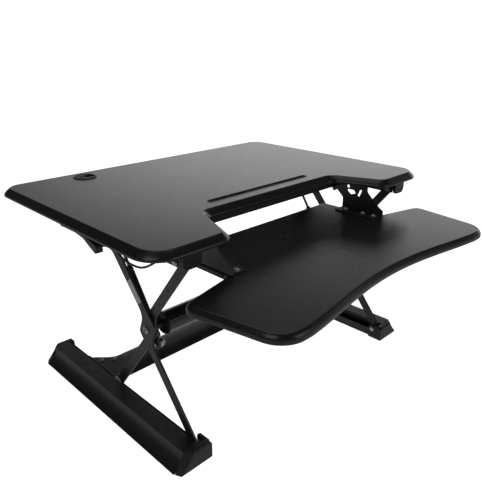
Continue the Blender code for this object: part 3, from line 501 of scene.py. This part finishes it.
def soften(shape, width, segments=2, angle=30):
    """Round every edge that is sharper than an angle."""
    rims = [edge for edge in shape.edges
            if len(edge.link_faces) == 2 and edge.calc_face_angle(0) > math.radians(angle)]
    bmesh.ops.bevel(shape, geom=rims, offset=width, segments=segments, profile=0.5,
                    affect="EDGES", clamp_overlap=False)
    return shape


def tube(path, radius, sides, ripple=0.0, closed=False):
    """A round tube along points, its radius rippled for a weld bead."""
    shape = bmesh.new()
    loops = []
    count = len(path)
    normal = None
    for i, spot in enumerate(path):
        before = path[i - 1] if i or closed else path[0]
        after = path[(i + 1) % count] if i < count - 1 or closed else path[-1]
        along = (after - before).normalized()
        normal = along.orthogonal() if normal is None else normal - along * normal.dot(along)
        normal.normalize()
        across = along.cross(normal)
        wide = radius * (1 + ripple * math.sin(i * 2.1) + ripple * noise.noise(spot * 300))
        loops.append([shape.verts.new(spot + (normal * math.cos(a) + across * math.sin(a)) * wide)
                      for a in (2 * math.pi * k / sides for k in range(sides))])
    pairs = list(zip(loops, loops[1:]))
    if closed:
        pairs.append((loops[-1], loops[0]))
    else:
        shape.faces.new(loops[0][::-1])
        shape.faces.new(loops[-1])
    for low, high in pairs:
        for k in range(sides):
            after = (k + 1) % sides
            shape.faces.new((low[k], low[after], high[after], high[k]))
    return shape


def circle_path(centre, direction, radius, count):
    """Points round a circle square to a direction."""
    place = axis_frame(centre, direction)
    return [place @ Vector((radius * math.cos(a), radius * math.sin(a), 0))
            for a in (2 * math.pi * k / count for k in range(count))]


def weld(name, path, body, radius=0.0012, closed=True):
    """A rippled bead of weld along a path."""
    return piece(name, tube(path, radius, 10, 0.12, closed), "weld_metal", body, level=False)


def line_path(start, end, pitch=0.0009):
    """Points along a straight line, close enough for a bead's ripple."""
    start, end = Vector(start), Vector(end)
    count = max(4, round((end - start).length / pitch))
    return [start.lerp(end, k / count) for k in range(count + 1)]


# ---------------------------------------------------------------- carried-over pieces
def refined(node, finish, width, segments=2):
    """A CAD node's own shape with its edges rounded, in place of the node."""
    shape = bmesh.new()
    shape.from_mesh(frame["nodes"][node].data)
    bmesh.ops.remove_doubles(shape, verts=shape.verts, dist=0.00002)
    bmesh.ops.dissolve_limit(shape, angle_limit=math.radians(0.4), verts=shape.verts,
                             edges=shape.edges)
    soften(shape, width, segments, 32)
    obj = piece(node + "_finished", shape, finish, BODY_OF[node])
    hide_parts(node)
    return obj


REFINED = [
    ("foot", "powder_coat", 0.0006), ("foot_front_cap", "moulded_plastic", 0.0010),
    ("foot_rear_cap", "moulded_plastic", 0.0010), ("crossbar_bracket", "powder_coat", 0.0005),
    ("outer_arm", "powder_coat", 0.0006), ("inner_arm", "powder_coat", 0.0006),
    ("tube_end", "powder_coat", 0.0004), ("rail", "powder_coat", 0.0004),
    ("rail_end_cap", "moulded_plastic", 0.0012), ("track_liner", "natural_nylon", 0.0004),
    ("tray_bracket", "powder_coat", 0.0004), ("handle_bracket", "powder_coat", 0.0003),
    ("handle", "moulded_plastic", 0.0009), ("cable_stop", "moulded_plastic", 0.0004),
    ("lock_guide", "moulded_plastic", 0.0004), ("lock_slide", "zinc", 0.0003),
]


def refine_nodes():
    for side, _ in SIDES:
        for node, finish, width in REFINED:
            refined(f"{node}_{side}", finish, width)
    refined("crossbar", "powder_coat", 0.0003)
    refined("tray_crossbeam", "powder_coat", 0.0004)


# ---------------------------------------------------------------- boards
DESK_TOP, DESK_UNDER = 0.482, 0.464
DESK_HALF_WIDTH, DESK_FRONT, DESK_REAR = 0.445, -0.2035, 0.4245
CUTOUT_REAR, CUTOUT_HALF_REAR, CUTOUT_HALF_FRONT = -0.0745, 0.212, 0.262
TRAY_TOP = 0.392
TRAY_REAR, TRAY_NECK_HALF, TRAY_HOLLOW_HALF = -0.0195, 0.258, 0.300
TRAY_FRONT, TRAY_FRONT_CENTRE = -0.4245, -0.3895
# board edges, as (inset from the outline, distance below the top)
DESK_EDGE = [(0.0017, 0.0180), (0.0006, 0.0174), (0.0, 0.0164), (0.0, 0.0146), (0.0003, 0.0132),
             (0.0008, 0.0121), (0.0015, 0.0111), (0.0033, 0.0090), (0.0060, 0.0064),
             (0.0088, 0.0039), (0.0112, 0.0019), (0.0128, 0.0008), (0.0139, 0.0002), (0.0147, 0.0)]
TRAY_EDGE = [(0.0020, 0.0180), (0.0007, 0.0173), (0.0, 0.0158), (0.0, 0.0120), (0.0003, 0.0098),
             (0.0009, 0.0078), (0.0019, 0.0058), (0.0033, 0.0039), (0.0050, 0.0022),
             (0.0068, 0.0009), (0.0082, 0.0002), (0.0092, 0.0)]
SLOT_MID, SLOT_HALF_WIDE, SLOT_REACH, SLOT_DEPTH = -0.024, 0.0065, 0.165, 0.010
GROMMET = Vector((-0.246, 0.3615, DESK_TOP))


def mirrored(half):
    """A whole outline from corners on the right half, given from rear to front."""
    return half + [(-x, y, r) for x, y, r in reversed(half)]


def desktop_outline():
    return rounded(mirrored([
        (DESK_HALF_WIDTH, DESK_REAR, 0.050), (DESK_HALF_WIDTH, DESK_FRONT, 0.060),
        (CUTOUT_HALF_FRONT, DESK_FRONT, 0.034), (CUTOUT_HALF_REAR, CUTOUT_REAR, 0.026)]), 16)


def tray_outline():
    """A board with a narrower neck, its front edge hollowed in a smooth double curve."""
    half = [(TRAY_NECK_HALF, TRAY_REAR, 0.018), (TRAY_NECK_HALF, -0.1845, 0.016),
            (0.4035, -0.2190, 0.026), (0.3640, TRAY_FRONT, 0.055)]
    steps = 24
    for k in range(steps):
        t = 1 - k / steps
        y = TRAY_FRONT_CENTRE + (TRAY_FRONT - TRAY_FRONT_CENTRE) * (1.6 * t ** 2 - 0.6 * t ** 4)
        half.append((TRAY_HOLLOW_HALF * t, y, 0))
    return rounded(mirrored(half), 14)


def inset(outline, distance):
    """The outline moved inwards, point by point."""
    count = len(outline)
    area = sum(outline[k - 1].cross(outline[k]) for k in range(count))
    turn = Matrix.Rotation(math.copysign(math.pi / 2, area), 2)
    moved = []
    for k, here in enumerate(outline):
        back = (here - outline[k - 1]).normalized()
        ahead = (outline[(k + 1) % count] - here).normalized()
        inward = (turn @ (back + ahead)).normalized()
        moved.append(here + inward * (distance / max(0.3, inward.dot(turn @ ahead))))
    return moved


def layered(outline, levels, top):
    """A closed solid through insets of one outline at (inset, distance below the top)."""
    shape = bmesh.new()
    loops = [[shape.verts.new((p.x, p.y, top - down)) for p in inset(outline, away)]
             for away, down in levels]
    count = len(outline)
    for low, high in zip(loops, loops[1:]):
        for k in range(count):
            after = (k + 1) % count
            shape.faces.new((low[k], low[after], high[after], high[k]))
    shape.faces.new(loops[0][::-1])
    shape.faces.new(loops[-1])
    return shape


def carve(obj, shape):
    """Cut a bmesh shape out of an object for good."""
    mesh = bpy.data.meshes.new("cutter")
    bmesh.ops.recalc_face_normals(shape, faces=shape.faces)
    shape.to_mesh(mesh)
    shape.free()
    cutter = bpy.data.objects.new("cutter", mesh)
    bpy.context.scene.collection.objects.link(cutter)
    change = obj.modifiers.new("Carve", "BOOLEAN")
    change.operation, change.object, change.solver = "DIFFERENCE", cutter, "EXACT"
    bpy.context.view_layer.update()
    level = obj.modifiers.get("Level")
    if level:
        obj.modifiers.remove(level)
    bpy.context.view_layer.update()
    result = bpy.data.meshes.new_from_object(obj.evaluated_get(bpy.context.evaluated_depsgraph_get()))
    obj.modifiers.clear()
    obj.data = result
    bpy.data.objects.remove(cutter, do_unlink=True)
    shade(obj)


def back_with_melamine(obj):
    """The flat underside takes the board's backing instead of the wrap."""
    obj.data.materials.append(FINISHES["board_underside"])
    for face in obj.data.polygons:
        if face.normal.z < -0.99:
            face.material_index = 1


def slot_outline():
    """The outline of the tablet slot."""
    y0, y1, r = SLOT_MID - SLOT_HALF_WIDE, SLOT_MID + SLOT_HALF_WIDE, SLOT_HALF_WIDE * 0.98
    reach = SLOT_REACH
    return rounded([(reach, y1, r), (-reach, y1, r), (-reach, y0, r), (reach, y0, r)], 12)


def make_desktop():
    board = piece("desktop_board", layered(desktop_outline(), DESK_EDGE, DESK_TOP),
                  "laminate", "desktop")
    carve(board, slab(slot_outline(), DESK_TOP - SLOT_DEPTH, DESK_TOP + 0.01))
    hole, rebate, ledge = 0.0265, 0.0293, -0.0006
    carve(board, turned([(-0.03, hole), (ledge, hole), (ledge, rebate), (0.01, rebate)],
                        GROMMET, (0, 0, 1), 64))
    back_with_melamine(board)
    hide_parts("desktop")


def make_slot_liner():
    """A moulded channel in the tablet slot, with a thin proud lip all round."""
    levels = [(0.0002, 0.0095), (0.0002, -0.0001), (-0.0018, -0.0001), (-0.0017, -0.0006),
              (-0.0012, -0.0010), (0.0004, -0.0010), (0.0010, -0.0006), (0.0013, 0.0080)]
    piece("tablet_slot_liner", layered(slot_outline(), levels, DESK_TOP), "moulded_plastic", "desktop")


def make_tray():
    board = piece("tray_board", layered(tray_outline(), TRAY_EDGE, TRAY_TOP),
                  "laminate", "desktop")
    back_with_melamine(board)
    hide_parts("keyboard_tray")


def make_grommet():
    profile = [(-0.020, 0.0220), (-0.020, 0.0262), (-0.0003, 0.0262), (-0.0003, 0.0290),
               (0.0012, 0.0290), (0.0023, 0.0272), (0.0023, 0.0235), (-0.0022, 0.0235),
               (-0.0022, 0.0220)]
    ring = piece("grommet_flange", turned(softened(profile, 0.0005), GROMMET, (0, 0, 1), 72, True),
                 "moulded_plastic", "desktop")
    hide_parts("grommet_ring")
    refined("grommet_cap", "moulded_plastic", 0.0005, 3)
    for k in (-1, 0, 1):
        place = GROMMET + Vector((-0.010, 0.0055 * k, 0.0015))
        rib = soften(block(place - Vector((0.005, 0.0007, 0.0002)),
                           place + Vector((0.005, 0.0007, 0.0006))), 0.0003)
        piece(f"grommet_cap_rib_{k + 2}", rib, "moulded_plastic", "grommet_cap")


# ---------------------------------------------------------------- tube, springs and rod
PIVOT = joint_at("main_pivot")
TUBE_R, TUBE_WALL, TUBE_HALF = 0.025, 0.002, 0.300
SPRING_TOP = Vector((0, 0.123, 0.4102))
EYE_X = (0.308, 0.318)


def make_torque_tube():
    wall = TUBE_R - TUBE_WALL
    profile = [(-TUBE_HALF, wall), (-TUBE_HALF, TUBE_R), (TUBE_HALF, TUBE_R), (TUBE_HALF, wall)]
    centre = (0, PIVOT.y, PIVOT.z)
    barrel = piece("torque_tube_barrel",
                   turned(softened(profile, 0.0006), centre, (1, 0, 0), 96, True),
                   "satin_tube", "inner_arms")
    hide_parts("torque_tube")
    for side, sign in SIDES:
        for step, x in enumerate((TUBE_HALF + 0.0002, TUBE_HALF + 0.0033)):
            radius = TUBE_R + 0.0002 if step == 0 else 0.0092
            place = (sign * x, PIVOT.y, PIVOT.z)
            weld(f"tube_weld_{step + 1}_{side}",
                 circle_path(place, (1, 0, 0), radius, round(radius * 7000)), "inner_arms", 0.0011)


def spring_axis(side):
    """Where a gas spring starts, its direction and its pin-to-pin length."""
    start = joint_at(f"gas_spring_{side}_pivot")
    run = Vector((start.x, SPRING_TOP.y, SPRING_TOP.z)) - start
    return start, run.normalized(), run.length


def make_eye(name, centre, sign, radius, bore, body):
    """A round silver eye with a bushed bore."""
    low, high = EYE_X
    start = (sign * low, centre.y, centre.z)
    profile = [(0, bore), (0, radius), (high - low, radius), (high - low, bore)]
    return piece(name, turned(softened(profile, 0.0008), start, (sign, 0, 0), 48, True), "zinc", body)


def make_gas_spring(side, sign):
    start, along, length = spring_axis(side)
    body = f"gas_cylinder_{side}"
    profile = [(0.0128, 0.0030), (0.0128, 0.0062), (0.0150, 0.0075), (0.1680, 0.0075),
               (0.1690, 0.0067), (0.1705, 0.0067), (0.1715, 0.0075), (0.1755, 0.0075),
               (0.1775, 0.0062), (0.1808, 0.0060), (0.1808, 0.0044), (0.1760, 0.0044)]
    barrel = piece(f"{body}_barrel", turned(softened(profile, 0.0006), start, along, 56),
                   "satin_tube", body)
    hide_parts(body)
    eye = make_eye(f"spring_lower_eye_{side}", start, sign, 0.0100, 0.0043, body)
    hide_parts(f"cylinder_eye_{side}")
    neck = [(0.0088, 0.0048), (0.0100, 0.0056), (0.0122, 0.0056, 0.0100), (0.0128, 0.0050)]
    piece(f"spring_lower_neck_{side}", turned(neck, start, along, 48), "zinc", body)

    body = f"gas_rod_{side}"
    rod = piece(f"{body}_shaft",
                turned(softened([(0.166, 0.0040), (length - 0.0110, 0.0040)]), start, along, 40),
                "chrome", body)
    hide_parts(body)
    top = start + along * length
    make_eye(f"spring_upper_eye_{side}", top, sign, 0.0090, 0.0038, body)
    nut_from = length - 0.0150
    nut = [(nut_from, 0.0040), (nut_from + 0.0002, 0.0058, 0.0110), (nut_from + 0.0010, 0.0062, 0.0110),
           (nut_from + 0.0050, 0.0062, 0.0110), (nut_from + 0.0058, 0.0054, 0.0110)]
    piece(f"spring_upper_nut_{side}", turned(nut, start, along, 48), "zinc", body)
    hex_bolt(f"spring_upper_bolt_{side}", Vector((sign * 0.3015, top.y, top.z)), sign, 0.0385,
             0.0038, 0.012, body, nut=False)
    wiper = [(0.1806, 0.0041), (0.1806, 0.0056), (0.1816, 0.0054), (0.1822, 0.0042)]
    piece(f"gas_cylinder_wiper_{side}", turned(wiper, start, along, 40), "rubber",
          f"gas_cylinder_{side}")


def make_tie_rod():
    low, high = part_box("outer_arm_tie_rod")
    centre = (low + high) / 2
    reach, neck = high.x, high.x - 0.012
    profile = [(-reach, 0.0045), (-neck, 0.0045), (-neck + 0.001, 0.0060), (neck - 0.001, 0.0060),
               (neck, 0.0045), (reach, 0.0045)]
    rod = piece("arm_tie_rod", turned(softened(profile), (0, centre.y, centre.z), (1, 0, 0), 48),
                "powder_coat", "outer_arms")
    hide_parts("outer_arm_tie_rod")
    for side, sign in SIDES:
        weld(f"tie_rod_weld_{side}",
             circle_path((sign * (reach - 0.0006), centre.y, centre.z), (1, 0, 0), 0.0052, 40),
             "outer_arms", 0.0012)


# ---------------------------------------------------------------- fasteners
BOLT_HEAD = 0.0040               # height of a hexagon head or nut


def hex_bolt(name, start, sign, run, radius, flats, body, nut=True):
    """A bolt along X: chamfered hexagon head, shank and, where it shows, a nylon-ring nut."""
    round_over, head = flats * 0.56, BOLT_HEAD
    levels = [(0, round_over * 0.86), (head * 0.15, round_over, flats), (head, round_over, flats),
              (head, flats * 0.46), (head + 0.0004, flats * 0.46), (head + 0.0004, radius)]
    if nut:
        levels += [(run - head, radius), (run - head, flats * 0.52, flats),
                   (run - head + 0.0003, round_over, flats), (run - 0.0012, round_over, flats),
                   (run - 0.0006, flats * 0.46), (run, flats * 0.42), (run, radius * 1.02),
                   (run + 0.0012, radius), (run + 0.0016, radius * 0.85)]
    else:
        levels += [(run - 0.0006, radius), (run, radius * 0.82)]
    return piece(name, turned(levels, start, (sign, 0, 0), 48), "zinc", body)


def washer(name, start, direction, inner, outer, thick, body):
    profile = [(0, inner), (0, outer), (thick, outer), (thick, inner)]
    return piece(name, turned(softened(profile, thick * 0.3, 2), start, direction, 48, True),
                 "zinc", body)


def socket_screw(name, seat, direction, radius, height, body, with_washer=True):
    """A low domed screw head with a hexagon socket, on its washer."""
    base = 0.0
    if with_washer:
        base = radius * 0.16
        washer(f"{name}_washer", seat, direction, radius * 0.45, radius * 1.45, base, body)
    socket = radius * 0.95
    levels = [(base - 0.0001, radius * 0.96), (base + height * 0.12, radius)]
    for k in range(1, 6):
        t = k / 5
        levels.append((base + height * (0.12 + 0.88 * math.sin(t * math.pi / 2)),
                       radius * (1 - 0.36 * t ** 2)))
    levels += [(base + height, radius * 0.60), (base + height * 0.93, radius * 0.56, socket),
               (base + height * 0.40, radius * 0.55, socket)]
    return piece(name, turned(levels, seat, direction, 48), "zinc", body)


def make_pivot_bolts():
    """Main pivots: flanged button heads outside, the shank through both arms."""
    for side, sign in SIDES:
        low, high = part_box(f"main_pivot_bolt_{side}")
        start = (low.x if sign > 0 else high.x, PIVOT.y, PIVOT.z)
        levels = [(0, 0.0044), (0.0006, 0.0050), (0.0126, 0.0050), (0.0127, 0.0086),
                  (0.0130, 0.0090), (0.0140, 0.0090), (0.0144, 0.0087), (0.0145, 0.0075),
                  (0.0162, 0.0071), (0.0170, 0.0060), (0.0172, 0.0046), (0.0171, 0.0042, 0.0068),
                  (0.0145, 0.0040, 0.0066)]
        bolt = piece(f"main_pivot_{side}", turned(levels, start, (sign, 0, 0), 72), "zinc",
                     "outer_arms")
        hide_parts(f"main_pivot_bolt_{side}")
        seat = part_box(f"inner_arm_{side}")[1 if sign < 0 else 0].x
        washer(f"main_pivot_washer_{side}", (seat, PIVOT.y, PIVOT.z), (-sign, 0, 0),
               0.0052, 0.0105, 0.0012, "inner_arms")


def make_spring_bolts():
    for side, sign in SIDES:
        centre = joint_at(f"gas_spring_{side}_pivot")
        low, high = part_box(f"spring_bolt_{side}")
        outer = high.x if sign > 0 else low.x
        bolt = hex_bolt(f"spring_lower_bolt_{side}", Vector((outer, centre.y, centre.z)), -sign,
                        high.x - low.x, 0.004, 0.013, "inner_arms")
        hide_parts(f"spring_bolt_{side}")


def make_pins():
    """Front pivot pins: headed at one end, clipped or nutted at the other."""
    for side, sign in SIDES:
        for node, joint, body in (("lower_pivot_pin", "lift_fold", "base"),
                                  ("upper_pivot_pin", "desktop_pivot", "desktop")):
            axis = joint_at(joint)
            low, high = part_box(f"{node}_{side}")
            start = Vector((low.x if sign > 0 else high.x, axis.y, axis.z))
            run = high.x - low.x
            if node == "lower_pivot_pin":
                levels = softened([(0, 0.0040), (0.0002, 0.0060), (0.0012, 0.0065), (0.0030, 0.0065),
                                   (0.0030, 0.0040), (run - 0.0014, 0.0040), (run - 0.0014, 0.0034),
                                   (run - 0.0007, 0.0034), (run - 0.0007, 0.0040), (run, 0.0036)])
            else:
                levels = [(0, 0.0050), (0.0005, 0.0062, 0.0125), (0.0012, 0.0070, 0.0125),
                          (0.0035, 0.0070, 0.0125), (0.0035, 0.0040), (run - 0.0045, 0.0040),
                          (run - 0.0045, 0.0062), (run - 0.0035, 0.0062),
                          (run - 0.0035, 0.0064, 0.0125), (run - 0.0031, 0.0070, 0.0125),
                          (run - 0.0010, 0.0070, 0.0125),
                          (run - 0.0006, 0.0058), (run, 0.0054), (run, 0.0040), (run + 0.0012, 0.0036)]
            pin = piece(f"{node}_turned_{side}", turned(levels, start, (sign, 0, 0), 48), "zinc", body)
            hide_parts(f"{node}_{side}")


def make_rollers():
    """Grooved nylon wheels with a steel bush and a clip on the stud's end."""
    for side, sign in SIDES:
        for place, arm in (("upper", "outer_arms"), ("lower", "inner_arms")):
            node = f"roller_{place}_{side}"
            centre = joint_at(f"{node}_turn")
            low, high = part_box(node)
            wide = high.x - low.x
            start = (low.x, centre.y, centre.z)
            profile = [(0, 0.0058), (0, 0.0078), (0.0006, 0.0080), (0.0006, 0.0112), (0, 0.0116),
                       (0.0004, 0.0132), (0.0012, 0.0140), (wide - 0.0012, 0.0140),
                       (wide - 0.0004, 0.0132), (wide, 0.0116), (wide - 0.0006, 0.0112),
                       (wide - 0.0006, 0.0080), (wide, 0.0078), (wide, 0.0058)]
            wheel = piece(f"{node}_wheel",
                          turned(softened(profile, 0.0003), start, (1, 0, 0), 72, True),
                          "natural_nylon", node)
            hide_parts(node)
            bush = [(0.0001, 0.0043), (0.0001, 0.0059), (wide - 0.0001, 0.0059),
                    (wide - 0.0001, 0.0043)]
            piece(f"{node}_bush", turned(softened(bush, 0.0003), start, (1, 0, 0), 48, True),
                  "zinc", node)
            end = low.x if (sign > 0) == (place == "upper") else high.x
            out = -1 if end == low.x else 1
            clip = [(0.0002, 0.0041), (0.0002, 0.0062), (0.0008, 0.0062), (0.0008, 0.0041)]
            piece(f"{node}_clip",
                  turned(clip, (end, centre.y, centre.z), (out, 0, 0), 48, True), "zinc", arm)


def make_screws():
    """Screws that hold rails, brackets, gussets, crossbeam and cable stops."""
    rail_x, tray_x, hanger_x = 0.3655, 0.2405, 0.280
    for side, sign in SIDES:
        for k in range(5):
            y = -0.165 + k * 0.125
            seat = (sign * rail_x, y, DESK_UNDER - 0.0024)
            socket_screw(f"rail_screw_{k + 1}_{side}", seat, (0, 0, -1), 0.0030, 0.0018, "desktop",
                         with_washer=False)
        for k, y in enumerate((-0.104, -0.156, -0.188)):
            seat = (sign * tray_x, y, TRAY_TOP + 0.0028)
            socket_screw(f"tray_screw_{k + 1}_{side}", seat, (0, 0, 1), 0.0058, 0.0032, "desktop")
        for k, y in enumerate((-0.058, -0.095, -0.134)):
            seat = (sign * hanger_x, y, DESK_UNDER - 0.0028)
            socket_screw(f"hanger_screw_{k + 1}_{side}", seat, (0, 0, -1), 0.0046, 0.0026, "desktop")
        for k, (x, y) in enumerate(((0.286, 0.176), (0.312, 0.160), (0.312, 0.252), (0.286, 0.234))):
            seat = (sign * x, y, 0.0173)
            socket_screw(f"gusset_screw_{k + 1}_{side}", seat, (0, 0, 1), 0.0045, 0.0024, "base")
        stop_low, stop_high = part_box(f"cable_stop_{side}")
        seat = ((stop_low.x + stop_high.x) / 2, stop_high.y - 0.0045, stop_low.z)
        socket_screw(f"cable_stop_screw_{side}", seat, (0, 0, -1), 0.0026, 0.0014, "desktop",
                     with_washer=False)
    for k in range(5):
        seat = (-0.200 + 0.100 * k, -0.0560, DESK_UNDER - 0.0023)
        socket_screw(f"crossbeam_screw_{k + 1}", seat, (0, 0, -1), 0.0040, 0.0022, "desktop")


# ---------------------------------------------------------------- cables, trims, welds and label
CABLE_ROUTE = [
    (0.4150, -0.0245, 0.4502), (0.4150, -0.0310, 0.4498), (0.4120, -0.0430, 0.4400),
    (0.4060, -0.0590, 0.4265), (0.4010, -0.0820, 0.4205), (0.3990, -0.1080, 0.4240),
    (0.3930, -0.1320, 0.4370), (0.3810, -0.1490, 0.4535), (0.3765, -0.1585, 0.4576),
    (0.3763, -0.1663, 0.4578),
]


def smooth_route(route, pieces):
    """Points of a Catmull-Rom curve through the route."""
    padded = [route[0] * 2 - route[1], *route, route[-1] * 2 - route[-2]]
    points = []
    for a, b, c, d in zip(padded, padded[1:], padded[2:], padded[3:]):
        for k in range(pieces):
            t = k / pieces
            points.append(0.5 * (2 * b + (c - a) * t + (2 * a - 5 * b + 4 * c - d) * t ** 2
                                 + (3 * b - a - 3 * c + d) * t ** 3))
    return points + [route[-1]]


def make_cables():
    """Release cables with a crimped ferrule at each end."""
    sheath_radius = 0.0022
    for side, sign in SIDES:
        route = [Vector((x * sign, y, z)) for x, y, z in CABLE_ROUTE]
        path = smooth_route(route, 9)
        cable = piece(f"release_cable_sheath_{side}", tube(path, sheath_radius, 18),
                      "cable_sheath", "desktop")
        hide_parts(f"release_cable_{side}")
        for end, (tip, inner) in enumerate(((route[0], route[1]), (route[-1], route[-2]))):
            levels = [(-0.0002, 0.0018), (-0.0002, 0.0028), (0.0004, 0.0031), (0.0030, 0.0031),
                      (0.0034, 0.0027), (0.0042, 0.0027), (0.0046, 0.0031), (0.0070, 0.0031),
                      (0.0075, 0.0024)]
            piece(f"cable_ferrule_{end + 1}_{side}", turned(levels, tip, inner - tip, 36), "zinc",
                  "desktop")


def make_foot_trims():
    """Rubber strips on the edges that each foot rests on."""
    for side, sign in SIDES:
        low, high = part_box(f"foot_{side}")
        outer = high.x if sign > 0 else -low.x
        for name, x0, x1 in (("outer", outer - 0.0046, outer + 0.0002), ("inner", 0.3284, 0.3318)):
            strip = soften(block((sign * x0, low.y + 0.001, 0.0), (sign * x1, high.y - 0.001, 0.0040)),
                           0.0009, 3)
            piece(f"foot_strip_{name}_{side}", strip, "rubber", "base")


STUD_FACE = {"outer": 0.3455, "inner": 0.3330}   # where the roller studs leave the arms, along X


def make_welds():
    """Beads along the gussets, the roller studs and the cable anchors."""
    for side, sign in SIDES:
        x, z = sign * 0.3265, 0.0176
        weld(f"gusset_weld_{side}", line_path((x, 0.140, z), (x, 0.279, z)), "base", 0.0011, False)
        for node, arm, body in ((f"roller_upper_{side}", "outer", "outer_arms"),
                                (f"roller_lower_{side}", "inner", "inner_arms")):
            centre = joint_at(f"{node}_turn")
            face = STUD_FACE[arm] * sign
            ring = circle_path((face, centre.y, centre.z), (1, 0, 0), 0.0042, 34)
            weld(f"stud_weld_{arm}_{side}", ring, body, 0.0009)
        x, z = sign * 0.3717, 0.4527
        weld(f"anchor_weld_{side}", line_path((x, -0.1795, z), (x, -0.1672, z)), "desktop", 0.0008,
             False)


LABEL_FROM_PIVOT = 0.084         # the label's middle, up the arm from the main pivot
STRAP_SLOPE = 0.090              # how far the upper strap leans off the pins' line, per length
LABEL_HALF_LONG, LABEL_HALF_WIDE, LABEL_CORNER = 0.0275, 0.0085, 0.0015


def make_label():
    """A blank silver-grey label on the left outer arm's upper strap."""
    low_pin, mid = joint_at("lift_fold"), joint_at("main_pivot")
    run = Vector((0, mid.y - low_pin.y, mid.z - low_pin.z))
    along = run.normalized()
    normal = Vector((0, -along.z, along.y))
    arm_length = 2 * run.length
    from_low = run.length + LABEL_FROM_PIVOT
    rise = normal * STRAP_SLOPE * (arm_length - from_low)
    centre = Vector((0, low_pin.y, low_pin.z)) + along * from_low + rise
    slope = (along - normal * STRAP_SLOPE).normalized()
    across = Vector((0, -slope.z, slope.y))
    half_long, half_wide, corner = LABEL_HALF_LONG, LABEL_HALF_WIDE, LABEL_CORNER
    outline = rounded([(half_long, half_wide, corner), (-half_long, half_wide, corner),
                       (-half_long, -half_wide, corner), (half_long, -half_wide, corner)], 5)
    shape = slab(outline, 0, 0.00025)
    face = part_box("outer_arm_left")[0].x
    for vert in shape.verts:
        flat = vert.co.copy()
        vert.co = centre + slope * flat.x + across * flat.y + Vector((face + 0.00005 - flat.z, 0, 0))
    piece("arm_label", shape, "label_film", "outer_arms")


def build():
    refine_nodes()
    make_desktop()
    make_slot_liner()
    make_tray()
    make_grommet()
    make_torque_tube()
    for side, sign in SIDES:
        make_gas_spring(side, sign)
    make_tie_rod()
    make_pivot_bolts()
    make_spring_bolts()
    make_pins()
    make_rollers()
    make_screws()
    make_cables()
    make_foot_trims()
    make_welds()
    make_label()


make_camera()
make_stage()
build()
